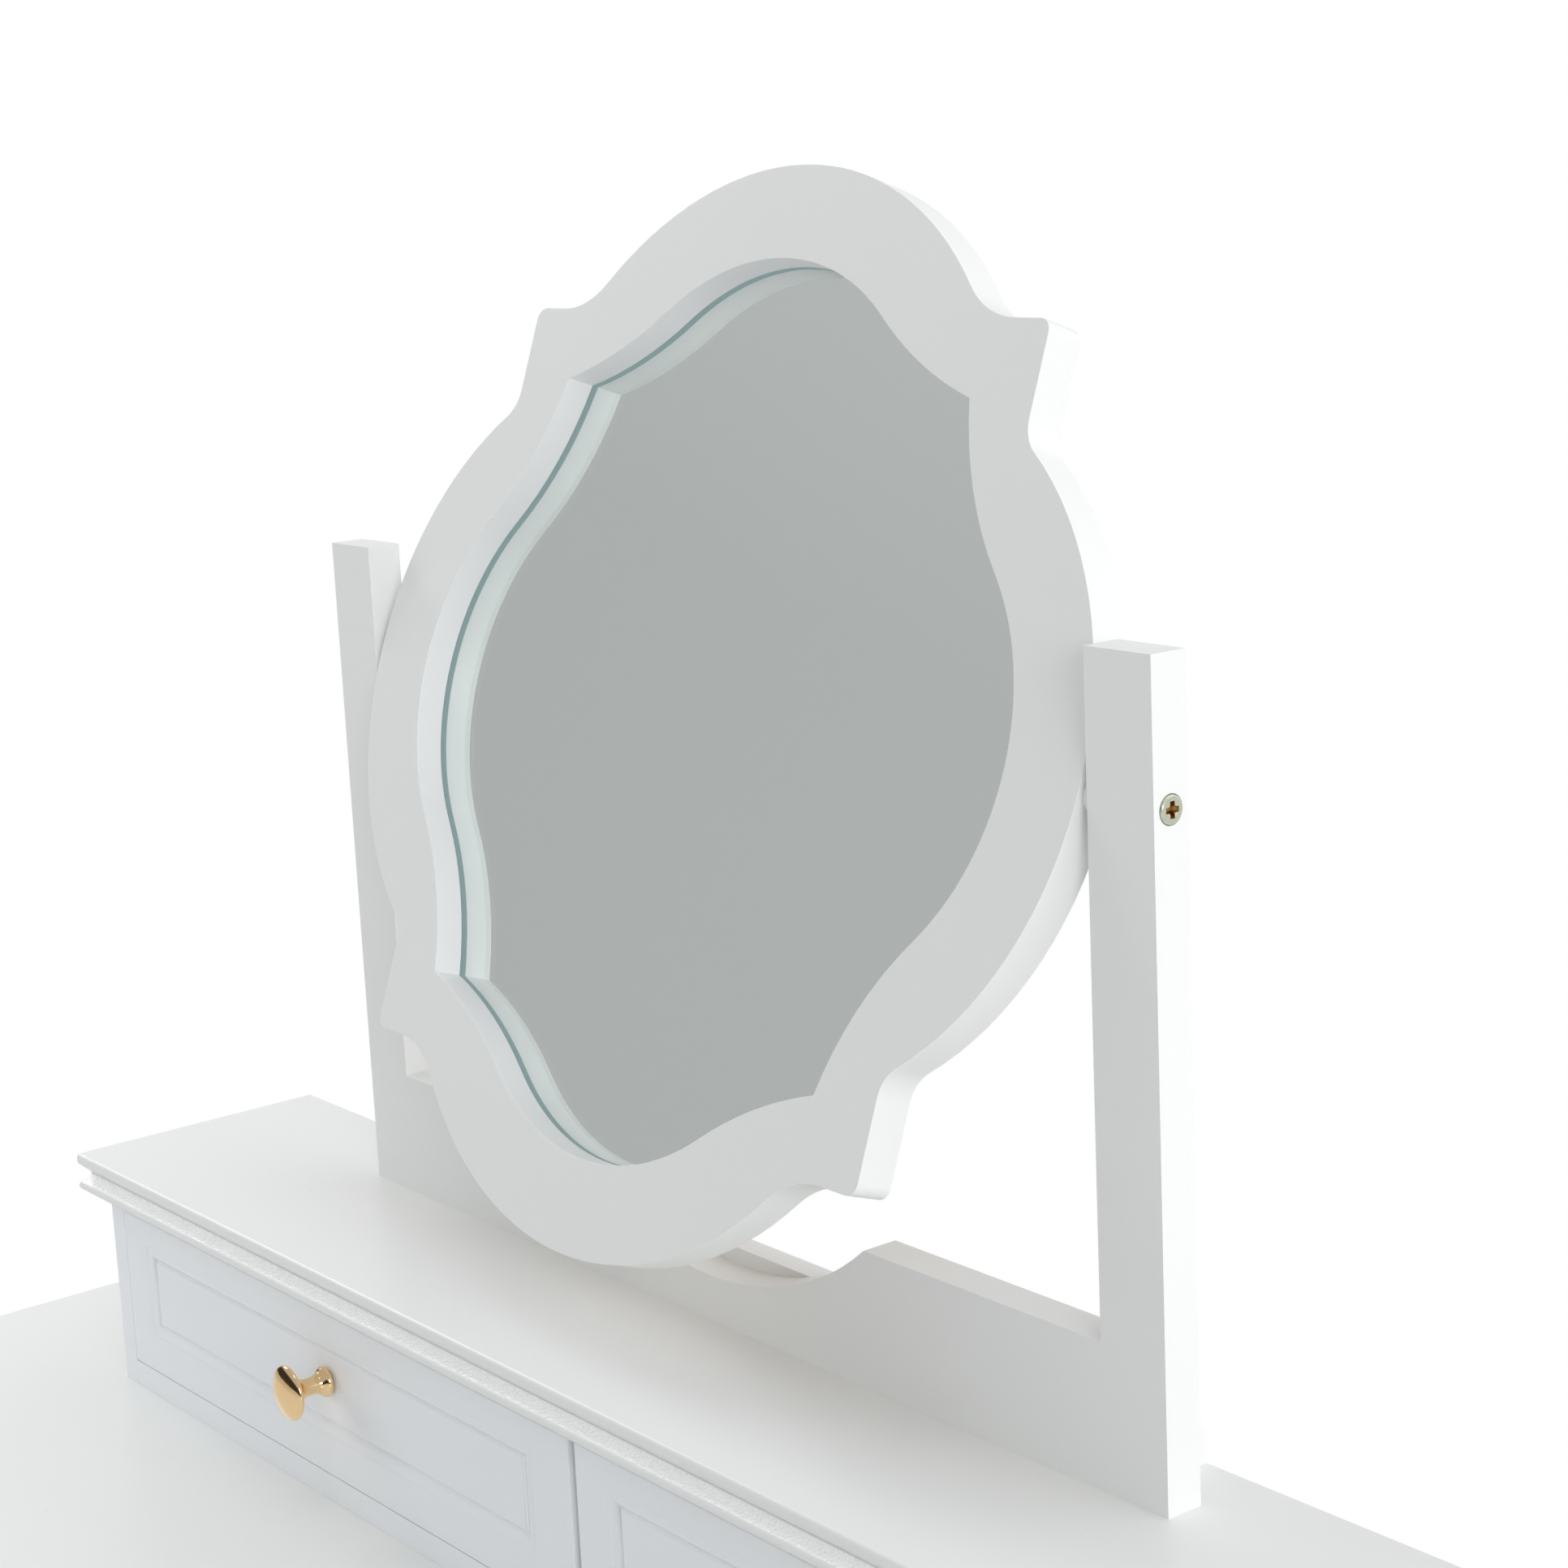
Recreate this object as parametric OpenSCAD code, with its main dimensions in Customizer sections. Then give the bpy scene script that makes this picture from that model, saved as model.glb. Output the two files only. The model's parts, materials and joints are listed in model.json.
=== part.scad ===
// Dressing table with a two-drawer box on its top and a swing mirror.
// Millimetres. X is the width, the front faces -Y, Z is up and the floor is Z = 0.
// The pieces are drawn from the back plane of the furniture (Y = 0) forwards,
// and placed() then moves the whole object so that the middle of its box is at X = Y = 0.

/* [Table] */
// Width of the table top
table_w = 1013; // [900:1:1200]
// Depth of the table top
table_d = 400; // [360:1:460]
// Height of the table top above the floor
table_h = 760; // [700:1:800]
// Side of the square legs
leg_side = 45; // [38:1:50]
// Side of the foot, where the taper of a leg ends
foot_side = 28; // [20:1:36]
// Height of the openings for the table drawers
table_opening_h = 113; // [90:1:130]
// Height of the rail under the table drawers
table_rail_h = 18; // [14:1:24]
// Width of the strips that carry the table drawers
runner_w = 30; // [26:1:34]
// Height of those strips
runner_h = 14; // [8:1:14]
// Front-to-back length of a table drawer behind its front
table_tray_d = 300; // [200:1:310]
// Height of the sides of a table drawer
table_tray_h = 85; // [60:1:88]
/* [Drawer box] */
// Width of the drawer box
box_w = 768; // [640:1:860]
// Depth of the top of the drawer box
box_d = 127; // [120:1:160]
// Height of the openings for the box drawers
box_opening_h = 76; // [64:1:96]
// Front-to-back length of a box drawer behind its front
box_tray_d = 82; // [60:1:82]
// Height of the sides of a box drawer
box_tray_h = 52; // [30:1:58]
/* [Boards] */
// Thickness of the two tops
top_t = 10.5; // [9:0.5:14]
// Height of the moulded rail under the front of each top
cornice_h = 18.5; // [16:0.5:22]
// How far that rail reaches back beyond the drawer fronts
cornice_lap = 3; // [2:0.5:8]
// How far the mouldings stand ahead of the drawer fronts
overhang = 15.5; // [13:0.5:18]
// Thickness of sides, dividers and the floor of the box
panel_t = 12; // [9:0.5:15]
// Thickness of the back panels
back_t = 9; // [6:0.5:12]
// Thickness of the drawer fronts
front_t = 15; // [14:0.5:18]
// Thickness of the drawer sides and backs
tray_t = 9; // [8:0.5:12]
// Thickness of the drawer bottoms
bottom_t = 3; // [2.5:0.5:4]
// Depth of the grooves that hold the drawer bottoms
groove_d = 4; // [3:0.5:5]
// Height of the drawer bottom above the lower edge of the drawer sides
bottom_rise = 6; // [4:0.5:10]

/* [Drawer fronts] */
// Plain border at the left of the routed panel
panel_left = 20; // [18:0.5:35]
// Plain border at the right of the routed panel
panel_right = 26.5; // [18:0.5:35]
// Plain border above the routed panel
panel_above = 11; // [10:0.5:16]
// Plain border below the routed panel
panel_below = 17.5; // [12:0.5:20]
// Width of the routed groove round the panel
rout_w = 8; // [6:0.5:10]
// Depth of the routed groove
rout_d = 3; // [2:0.5:5]
// Gap between two drawer fronts at the middle
middle_gap = 4.6; // [3:0.1:8]

/* [Knobs] */
// Diameter of a knob's head
knob_d = 24.5; // [20:0.5:28]
// How far a knob stands out
knob_l = 23; // [20:0.5:28]
// Diameter of a knob's base
knob_base_d = 13.5; // [12:0.5:16]
// Diameter of a knob's waist
knob_waist_d = 7.5; // [7:0.5:9]
// Diameter of a knob screw
knob_screw_d = 4; // [3:0.5:4]
// How far a knob sits above the middle of its drawer front
knob_up = 6.5; // [0:0.5:8]

/* [Mirror stand] */
// Width over the two posts
stand_w = 500; // [440:1:600]
// Height of the posts
stand_h = 291; // [291:1:340]
// Thickness of the stand
stand_t = 15.5; // [14:0.5:20]
// Width of a post
post_w = 30.2; // [26:0.1:36]
// Height of the rail between the posts
rail_h = 54; // [46:1:64]
// Depth of the hollow in the top of the rail
dip_depth = 35; // [20:1:38]
// Radius of that hollow
dip_r = 150; // [120:1:180]
// Distance from the back of the stand to the back of the box
stand_set = 26; // [22:1:30]
// How far the ends of the batten behind the stand are set in from the outer faces of the posts
batten_set = 22; // [16:1:28]
// Straight part of the batten, below its rounded part
batten_foot = 8; // [2:1:10]
// Height of the batten's rounded part
batten_rise = 17.8; // [12:0.2:19]

/* [Mirror] */
// Height of the scalloped frame
frame_h = 422.5; // [380:0.5:430]
// Gap between the frame and each post
side_gap = 3.5; // [3:0.1:6]
// Thickness of the frame
frame_t = 15.5; // [14:0.5:20]
// Width of the frame's border at its lobes
border = 36.5; // [32:0.5:42]
// Height of the pivots above the top of the box
pivot_h = 240; // [230:1:260]
// Height of the frame's centre above the pivots
frame_rise = 3.2; // [0:0.1:6]
// Distance from the front face of the frame to the pivot axis
pivot_depth = 8.5; // [7:0.1:9]
// Lean of the mirror's top to the back, at rest
tilt = 19.6; // [0:0.1:30]
// Thickness of the mirror glass
glass_t = 3; // [2:0.5:4]
// Width of the ledge that the glass lies on
ledge = 7; // [5:0.5:9]
// Thickness of the panel behind the glass
mirror_back_t = 3; // [2.5:0.5:4]
// How far that panel covers the frame beyond the ledge
mirror_back_lap = 12; // [9:0.5:14]

/* [Pivots and screws] */
// Diameter of the pivot screws
pivot_d = 6; // [5:0.5:6]
// Diameter of the heads of the pivot screws
pivot_head_d = 10; // [9:0.5:11]
// Thickness of those heads
pivot_head_t = 2.6; // [2:0.1:3]
// How far those heads stand out of the posts
pivot_proud = 0.7; // [0.4:0.1:1]
// Diameter of the threaded inserts in the frame
insert_d = 9; // [8:0.5:10]
// Length of those inserts
insert_l = 16; // [10:1:20]
// Outside diameter of the spacers between posts and frame
spacer_d = 13; // [12:0.5:14]
// Diameter of the screws that hold the stand
stand_screw_d = 4; // [3.5:0.5:5]
// How far those screws reach into the stand
stand_screw_bite = 25; // [16:1:28]
// Diameter of the small screws in the mirror's back panel
back_screw_d = 2.5; // [2:0.5:3]

/* [Clearances] */
// Gap round a drawer front inside its opening
front_gap = 0.5; // [0.4:0.1:1]
// Gap beside a drawer's sides
tray_gap = 1.2; // [0.6:0.1:2]
// Gap round a screw, a glass or a drawer bottom where it is fixed
fixed_gap = 0.05; // [0.03:0.01:0.1]
// Gap round a pivot screw where it turns in its post
running_gap = 0.08; // [0.05:0.01:0.1]
// Gap between turning faces that pass each other
face_gap = 0.2; // [0.1:0.1:0.4]

/* [Hidden] */
$fn = 64;
far = 2000;          // longer than any board
sides = [-1, 1];     // left, right

// Heights above the floor
head_h = top_t + cornice_h;                          // top board and moulded rail together
table_sill = table_h - head_h - table_opening_h;     // top of the rail under the table drawers
apron_z = table_sill - table_rail_h;                 // lower edge of the table's frame
box_sill = table_h + panel_t;                        // floor that the box drawers stand on
box_top = box_sill + box_opening_h + head_h;         // top face of the drawer box
cornice_d = front_t + cornice_lap;                   // moulded rail behind the drawer fronts' plane
pivot_z = box_top + pivot_h;

// Places from the back plane forwards
table_face = -(table_d - overhang);                  // plane of the table's drawer fronts
box_face = -(box_d - overhang);                      // plane of the box's drawer fronts
stand_back = -stand_set;
stand_front = stand_back - stand_t;
pivot_y = stand_front + stand_t / 2;

// The mirror's sizes
half_w = stand_w / 2 - post_w - side_gap;
half_h = frame_h / 2;
ledge_depth = frame_t - glass_t - 2 * fixed_gap;     // front face of the frame to the glass's ledge

// The middle of the whole object, front to back
front_y = table_face - knob_l;
mirror_reach = (half_h + frame_rise) * sin(tilt) + (frame_t - pivot_depth) * cos(tilt);
back_y = max(0, pivot_y + mirror_reach);
middle_y = (front_y + back_y) / 2;

// Drawers: which half, the opening's outer edge, floor, height, face plane and tray
//  [name, side, outer x, sill, opening height, face plane, tray depth, tray height]
DRAWERS = [
  ["box_drawer_left", -1, box_w / 2 - panel_t, box_sill, box_opening_h, box_face, box_tray_d, box_tray_h],
  ["box_drawer_right", 1, box_w / 2 - panel_t, box_sill, box_opening_h, box_face, box_tray_d, box_tray_h],
  ["table_drawer_left", -1, table_w / 2 - leg_side, table_sill, table_opening_h, table_face,
   table_tray_d, table_tray_h],
  ["table_drawer_right", 1, table_w / 2 - leg_side, table_sill, table_opening_h, table_face,
   table_tray_d, table_tray_h]
];
DRAWER_PIECES = ["front", "side_left", "side_right", "back", "bottom", "knob", "knob_screw"];
function d_name(d) = d[0];
function d_side(d) = d[1];
function d_outer(d) = d[2];
function d_sill(d) = d[3];
function d_open(d) = d[4];
function d_face(d) = d[5];
function d_depth(d) = d[6];
function d_tray_h(d) = d[7];

// A drawer front's two edges, and its panel's centre, in X and Z
function front_x(d) = [middle_gap / 2, d_outer(d) - front_gap];
function front_z(d) = [d_sill(d) + front_gap, d_sill(d) + d_open(d) - front_gap];
// Every front is cut alike, so the border nearest the middle differs from side to side
function panel_x(d) = front_x(d) +
  (d_side(d) > 0 ? [panel_left, -panel_right] : [panel_right, -panel_left]);
function panel_z(d) = [front_z(d)[0] + panel_below, front_z(d)[1] - panel_above];
function middle(span) = (span[0] + span[1]) / 2;
function knob_at(d) = [d_side(d) * middle(front_x(d)), d_face(d), middle(front_z(d)) + knob_up];
// The tray's outer faces, from the middle of the furniture outwards
function tray_x(d) = [panel_t / 2 + tray_gap, d_outer(d) - tray_gap];
function tray_y(d) = [d_face(d) + front_t, d_face(d) + front_t + d_depth(d)];

STATIC = ["table_top", "table_cornice", "leg_front_left", "leg_front_right", "leg_back_left",
  "leg_back_right", "table_side_left", "table_side_right", "table_back", "table_front_rail",
  "table_divider", "table_runners", "box_top", "box_cornice", "box_side_left", "box_side_right",
  "box_floor", "box_back", "box_divider", "mirror_stand", "stand_batten", "stand_screws"];
MIRROR = ["mirror_frame", "mirror_glass", "mirror_back", "mirror_back_screws", "pivot_inserts",
  "pivot_spacers", "pivot_screws"];

// ---- helpers ----

module placed() {
  translate([0, -middle_y, 0]) children();
}

// A board between two corners
module board(low, high) {
  translate(low) cube(high - low);
}

// A flat plate: an outline in X and Z, from y0 back to y1
module plate(points, y0, y1) {
  translate([0, y1, 0]) rotate([90, 0, 0]) linear_extrude(y1 - y0) polygon(points);
}

// A moulding: an outline in Y and Z, run along the whole width
module run_along(width, points) {
  translate([-width / 2, 0, 0]) rotate([90, 0, 90]) linear_extrude(width) polygon(points);
}

function arc(centre, r, from, to, n) =
  [for (i = [0:n]) let (a = from + (to - from) * i / n) centre + r * [cos(a), sin(a)]];

// A round-headed screw: its head stands below z = 0 and its shank points up
module screw(d, l, head_d, head_t) {
  translate([0, 0, -head_t]) cylinder(d = head_d, h = head_t);
  cylinder(d = d, h = l);
}

// A wood screw, whose head follows from its diameter
wood_head = 2;       // head's diameter, in diameters of the shank
wood_head_t = 0.6;   // head's thickness, in diameters of the shank
module wood_screw(d, l) {
  screw(d, l, wood_head * d, wood_head_t * d);
}

// ---- tops and their mouldings ----

// Edge of a top: a rounded nose, then a slope in to the notch above the moulded rail
lip_r = 2;           // rounding of each nose
notch_in = 6.8;      // how far the notch lies behind the noses
nose_t = 1.4;        // upright part of a top's nose, between its two roundings
nose_drop = 4.2;     // height of the rail's nose below the notch
module top_board(width, depth, z) {
  nose = concat(arc([-depth + lip_r, z - lip_r], lip_r, 90, 180, 5),
    arc([-depth + lip_r, z - lip_r - nose_t], lip_r, 180, 228, 4));
  color("whitesmoke") run_along(width, concat(
    [[0, z - top_t], [0, z]], nose, [[-depth + notch_in, z - top_t]]));
}

// Moulded rail under the front of a top: a cove, a nose, then a slope in to the drawer fronts
module cornice(width, face, z) {
  notch = [face - overhang + notch_in, z - top_t];
  nose = arc([face - overhang + lip_r, z - top_t - nose_drop - lip_r / 2], lip_r, 112, 232, 8);
  color("whitesmoke") run_along(width, concat(
    [[face + cornice_d, z - head_h], [face + cornice_d, z - top_t],
     notch, notch - [0.7, 1.2], notch - [2.8, 2.4]], nose, [[face, z - head_h]]));
}

// Room for the moulded rail in the front top corner of a side or a leg
module cornice_notch(face, z) {
  board([-far / 2, face - far, z - head_h], [far / 2, face + cornice_d, z + 1]);
}

// ---- the table ----

module table_top() {
  top_board(table_w, table_d, table_h);
}

module table_cornice() {
  cornice(table_w, table_face, table_h);
}

// Square leg, tapered on its two inner sides below the apron
module leg(side, front) {
  y0 = front ? table_face : -leg_side;
  y1 = y0 + leg_side;
  x_out = side * table_w / 2;
  x_in = x_out - side * leg_side;
  x_foot = x_out - side * foot_side;
  // the taper runs towards the middle of the table, so the foot stays under the outer corner
  y_out = front ? y0 : y1;
  y_in = front ? y1 : y0;
  y_foot = front ? y0 + foot_side : y1 - foot_side;
  top_z = table_h - top_t;
  color("whitesmoke") difference() {
    intersection() {
      plate([[x_out, 0], [x_out, top_z], [x_in, top_z], [x_in, apron_z], [x_foot, 0]], y0, y1);
      run_along(table_w, [[y_out, 0], [y_out, top_z], [y_in, top_z], [y_in, apron_z], [y_foot, 0]]);
    }
    if (front) cornice_notch(table_face, table_h);
  }
}

module table_side(side) {
  x = side * table_w / 2;
  inner = x - side * panel_t;
  color("whitesmoke")
    board([min(x, inner), table_face + leg_side, apron_z], [max(x, inner), -leg_side, table_h - top_t]);
}

module table_back() {
  reach = table_w / 2 - leg_side;
  color("whitesmoke") board([-reach, -back_t, apron_z], [reach, 0, table_h - top_t]);
}

module table_front_rail() {
  reach = table_w / 2 - leg_side;
  color("whitesmoke") board([-reach, table_face, apron_z], [reach, table_face + leg_side, table_sill]);
}

// Upright board between the two table drawers, behind their fronts
module table_divider() {
  color("whitesmoke") difference() {
    board([-panel_t / 2, table_face + front_t + tray_gap, table_sill],
          [panel_t / 2, -back_t, table_h - top_t]);
    cornice_notch(table_face, table_h);
  }
}

// Strips that carry the drawer sides: one between each pair of legs, a wider one under the divider
module table_runners() {
  y0 = table_face + leg_side;
  x = table_w / 2 - leg_side;
  color("burlywood") {
    for (s = sides)
      board([s * x - runner_w / 2, y0, table_sill - runner_h],
            [s * x + runner_w / 2, -leg_side, table_sill]);
    board([-runner_w, y0, table_sill - runner_h], [runner_w, -back_t, table_sill]);
  }
}

// ---- the drawer box ----

module box_top() {
  color("whitesmoke") difference() {
    top_board(box_w, box_d, box_top);
    stand_screw_places() cylinder(d = stand_screw_d + 2 * fixed_gap, h = far, center = true);
  }
}

module box_cornice() {
  cornice(box_w, box_face, box_top);
}

module box_side(side) {
  x = side * box_w / 2;
  inner = x - side * panel_t;
  color("whitesmoke") difference() {
    board([min(x, inner), box_face, table_h], [max(x, inner), 0, box_top - top_t]);
    cornice_notch(box_face, box_top);
  }
}

module box_floor() {
  reach = box_w / 2 - panel_t;
  color("whitesmoke") board([-reach, box_face, table_h], [reach, 0, box_sill]);
}

module box_back() {
  reach = box_w / 2 - panel_t;
  color("whitesmoke") board([-reach, -back_t, box_sill], [reach, 0, box_top - top_t]);
}

// Upright board between the two box drawers, behind their fronts
module box_divider() {
  color("lightslategray") difference() {
    board([-panel_t / 2, box_face + front_t + tray_gap, box_sill], [panel_t / 2, -back_t, box_top - top_t]);
    cornice_notch(box_face, box_top);
  }
}

// ---- drawers ----

// Puts a piece drawn for the right-hand drawer on its own side
module on_side(d) {
  if (d_side(d) > 0) children();
  else mirror([1, 0, 0]) children();
}

// Slab with a groove routed round a raised panel, and a hole for the knob's screw
module drawer_front(d) {
  x = front_x(d);
  z = front_z(d);
  px = panel_x(d);
  pz = panel_z(d);
  color("aliceblue") on_side(d) difference() {
    board([x[0], d_face(d), z[0]], [x[1], d_face(d) + front_t, z[1]]);
    difference() {
      board([px[0], d_face(d) - 1, pz[0]], [px[1], d_face(d) + rout_d, pz[1]]);
      board([px[0] + rout_w, d_face(d) - 2, pz[0] + rout_w],
            [px[1] - rout_w, d_face(d) + rout_d + 1, pz[1] - rout_w]);
    }
    translate([middle(x), d_face(d), middle(z) + knob_up])
      rotate([90, 0, 0]) cylinder(d = knob_screw_d + 2 * fixed_gap, h = far, center = true);
    drawer_groove(d);
  }
}

// Room for the drawer's bottom in the boards round it
module drawer_groove(d) {
  drawer_floor(d, fixed_gap);
}

module drawer_floor(d, grow) {
  x = tray_x(d);
  y = tray_y(d);
  z = d_sill(d) + front_gap + bottom_rise;
  board([x[0] + tray_t - groove_d - grow, y[0] - groove_d - grow, z - grow],
        [x[1] - tray_t + groove_d + grow, y[1] - tray_t + groove_d + grow, z + bottom_t + grow]);
}

// One side board; outer is true for the side away from the middle of the furniture
module drawer_side(d, outer) {
  x = tray_x(d);
  y = tray_y(d);
  z0 = d_sill(d) + front_gap;
  x0 = outer ? x[1] - tray_t : x[0];
  color("burlywood") on_side(d) difference() {
    board([x0, y[0], z0], [x0 + tray_t, y[1], z0 + d_tray_h(d)]);
    drawer_groove(d);
  }
}

module drawer_back(d) {
  x = tray_x(d);
  y = tray_y(d);
  z0 = d_sill(d) + front_gap;
  color("burlywood") on_side(d) difference() {
    board([x[0] + tray_t, y[1] - tray_t, z0], [x[1] - tray_t, y[1], z0 + d_tray_h(d)]);
    drawer_groove(d);
  }
}

module drawer_bottom(d) {
  color("tan") on_side(d) drawer_floor(d, 0);
}

// Turned knob: flared base, narrow waist, mushroom head with a low dome
knob_rim = 2.2;      // thickness of the head's edge
knob_dome = 4;       // height of the dome above the edge
knob_foot = 1.5;     // straight part of the base
knob_flare = 1;      // how much wider the waist is at its two ends
knob_flare_l = 3;    // length of the cone from each end of the waist to the base or the head
knob_screw_bite = 9; // how far the knob's screw reaches into it
module knob(d) {
  rim_z = knob_l - knob_dome;
  dome_r = (pow(knob_d / 2, 2) + pow(knob_dome, 2)) / (2 * knob_dome);
  dome_turn = asin(knob_d / 2 / dome_r);
  waist_z = (knob_foot + rim_z - knob_rim) / 2;
  dome = arc([0, knob_l - dome_r], dome_r, 90 - dome_turn, 90, 8);
  color("gold") translate(knob_at(d)) rotate([90, 0, 0]) difference() {
    rotate_extrude() polygon(concat(
      [[0, 0], [knob_base_d / 2, 0], [knob_base_d / 2, knob_foot],
       [knob_waist_d / 2 + knob_flare, knob_foot + knob_flare_l], [knob_waist_d / 2, waist_z],
       [knob_waist_d / 2 + knob_flare, rim_z - knob_rim - knob_flare_l],
       [knob_d / 2 - knob_flare, rim_z - knob_rim], [knob_d / 2, rim_z - knob_rim / 2]], dome));
    translate([0, 0, -1]) cylinder(d = knob_screw_d + 2 * fixed_gap, h = knob_screw_bite + 2);
  }
}

// Screw from inside the drawer, through the front and into the knob
module knob_screw(d) {
  color("silver") translate(knob_at(d) + [0, front_t, 0]) rotate([90, 0, 0])
    wood_screw(knob_screw_d, front_t + knob_screw_bite);
}

module drawer_piece(d, p) {
  if (p == "front") drawer_front(d);
  if (p == "side_left") drawer_side(d, d_side(d) < 0);
  if (p == "side_right") drawer_side(d, d_side(d) > 0);
  if (p == "back") drawer_back(d);
  if (p == "bottom") drawer_bottom(d);
  if (p == "knob") knob(d);
  if (p == "knob_screw") knob_screw(d);
}

// ---- the mirror stand ----

// One board: two posts and a low rail with a round hollow that the mirror swings through
module mirror_stand() {
  reach = stand_w / 2;
  color("whitesmoke") difference() {
    board([-reach, stand_front, box_top], [reach, stand_back, box_top + stand_h]);
    board([-reach + post_w, stand_front - 1, box_top + rail_h],
          [reach - post_w, stand_back + 1, box_top + stand_h + 1]);
    translate([0, 0, box_top + rail_h - dip_depth + dip_r])
      rotate([90, 0, 0]) cylinder(r = dip_r, h = far, center = true);
    for (s = sides) pivot_side(s) {
      translate([0, 0, -1]) cylinder(d = pivot_d + 2 * running_gap, h = post_w + 2);
      counterbore();
    }
    stand_screw_places() cylinder(d = stand_screw_d + 2 * fixed_gap, h = stand_screw_bite + 1);
  }
}

// Batten along the foot of the stand, rounded at the back
module stand_batten() {
  w = stand_w - 2 * batten_set;
  round = [for (a = [0:9:90]) [stand_set * cos(a), batten_foot + batten_rise * sin(a)]];
  color("whitesmoke") difference() {
    translate([0, stand_back, box_top]) run_along(w, concat([[0, 0], [stand_set, 0]], round));
    stand_screw_places() cylinder(d = stand_screw_d + 2 * fixed_gap, h = batten_screw_bite + 1);
  }
}

// The screws come up through the top of the box: two on each side into the stand, one into the batten
batten_screw_bite = 16;
batten_screw_set = 9;            // behind the back of the stand
batten_screw_in = 9;             // from an end of the batten
rail_screw_set = 20;             // beyond the end of the hollow
dip_half = sqrt(pow(dip_r, 2) - pow(dip_r - dip_depth, 2));
stand_screw_x = [dip_half + rail_screw_set, stand_w / 2 - post_w / 2];
batten_screw_x = stand_w / 2 - batten_set - batten_screw_in;
batten_screw_y = stand_back + batten_screw_set;
module stand_screw_places() {
  for (s = sides) {
    for (x = stand_screw_x) translate([s * x, pivot_y, box_top]) children();
    translate([s * batten_screw_x, batten_screw_y, box_top]) children();
  }
}

module stand_screws() {
  color("silver") for (s = sides) {
    for (x = stand_screw_x) translate([s * x, pivot_y, box_top - top_t])
      wood_screw(stand_screw_d, top_t + stand_screw_bite);
    translate([s * batten_screw_x, batten_screw_y, box_top - top_t])
      wood_screw(stand_screw_d, top_t + batten_screw_bite);
  }
}

// ---- the mirror ----

// The scalloped outlines are drawn on a half size of 100 each way and then stretched to fit.
lobe_steps = 16;     // straight stretches in a lobe
hollow_steps = 8;    // and in a hollow
// A lobe starts at its crown on an axis and turns through an angle; points are [across, up].
function lobe(r, turn) =
  [for (i = [0:lobe_steps]) let (a = turn * i / lobe_steps) [r * sin(a), 100 - r + r * cos(a)]];
// The hollow that follows it, bending back until it runs at the given slope
function hollow(start, r, turn, end) =
  [for (i = [1:hollow_steps]) let (a = turn + (end - turn) * i / hollow_steps)
    start + r * [sin(turn) - sin(a), cos(turn) - cos(a)]];
// Radius of a hollow that levels out at a height
function level_r(start, turn, height) = (start[1] - height) / (1 - cos(turn));
// Radius of a hollow that passes through a point
function through_r(start, turn, p) =
  (pow(p[0] - start[0], 2) + pow(p[1] - start[1], 2))
    / (2 * ((p[0] - start[0]) * sin(turn) + (p[1] - start[1]) * cos(turn)));
function last(list) = list[len(list) - 1];
function swapped(list) = [for (i = [len(list) - 1:-1:0]) [list[i][1], list[i][0]]];

// Outer quarter: top lobe, hollow, rounded ear, hollow, side lobe
top_lobe = [69.5, 47];           // radius, turn
side_lobe = [62.5, 54];
ear = [71.4, 72.7];
ear_r = 2.4;
function outer_half(shape, height) =
  let (l = lobe(shape[0], shape[1]), p = last(l))
    concat(l, hollow(p, level_r(p, shape[1], height), shape[1], 0));
outer_quarter = concat(
  outer_half(top_lobe, ear[1]),
  arc(ear - [ear_r, ear_r], ear_r, 90, 0, 5),
  swapped(outer_half(side_lobe, ear[0])));

// Inner quarter: the same lobes meet in a sharp point
top_inner = [59.3, 38];
side_inner = [54.8, 42];
cusp = [67.9, 71.2];
function inner_half(shape, point) =
  let (l = lobe(shape[0], shape[1]), p = last(l), r = through_r(p, shape[1], point))
    concat(l, hollow(p, r, shape[1], asin((p[0] + r * sin(shape[1]) - point[0]) / r)));
function not_last(list) = [for (i = [0:len(list) - 2]) list[i]];
inner_quarter = concat(
  not_last(inner_half(top_inner, cusp)),
  swapped(inner_half(side_inner, [cusp[1], cusp[0]])));

// All four quarters, stretched to their half width and half height
function closed(quarter, w, h) =
  let (n = len(quarter) - 1, q = [for (p = quarter) [p[0] * w / 100, p[1] * h / 100]])
    concat(q,
      [for (i = [n - 1:-1:0]) [q[i][0], -q[i][1]]],
      [for (i = [1:n]) [-q[i][0], -q[i][1]]],
      [for (i = [n - 1:-1:1]) [-q[i][0], q[i][1]]]);

function inner_outline(grow) = closed(inner_quarter, half_w - border + grow, half_h - border + grow);

// Turns a piece about the pivots, from an upright mirror to its place at rest
module leaned() {
  translate([0, pivot_y, pivot_z]) rotate([-tilt, 0, 0]) children();
}

// A plate of the mirror, at a depth behind the front face of the frame
module layer(points, depth, thickness) {
  translate([0, 0, frame_rise]) plate(points, depth - pivot_depth, depth - pivot_depth + thickness);
}

// Points the pivot on one side along its screw, from the post's outer face towards the mirror
module pivot_side(s) {
  translate([s * stand_w / 2, pivot_y, pivot_z]) rotate([0, -s * 90, 0]) children();
}

// The same for a piece that leans with the mirror
module leaned_pivot(s) {
  leaned() translate([s * stand_w / 2, 0, 0]) rotate([0, -s * 90, 0]) children();
}

counterbore_gap = 0.3;           // round the head of a pivot screw
module counterbore() {
  translate([0, 0, -1])
    cylinder(d = pivot_head_d + 2 * counterbore_gap, h = 1 + pivot_head_t - pivot_proud + face_gap);
}

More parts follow.
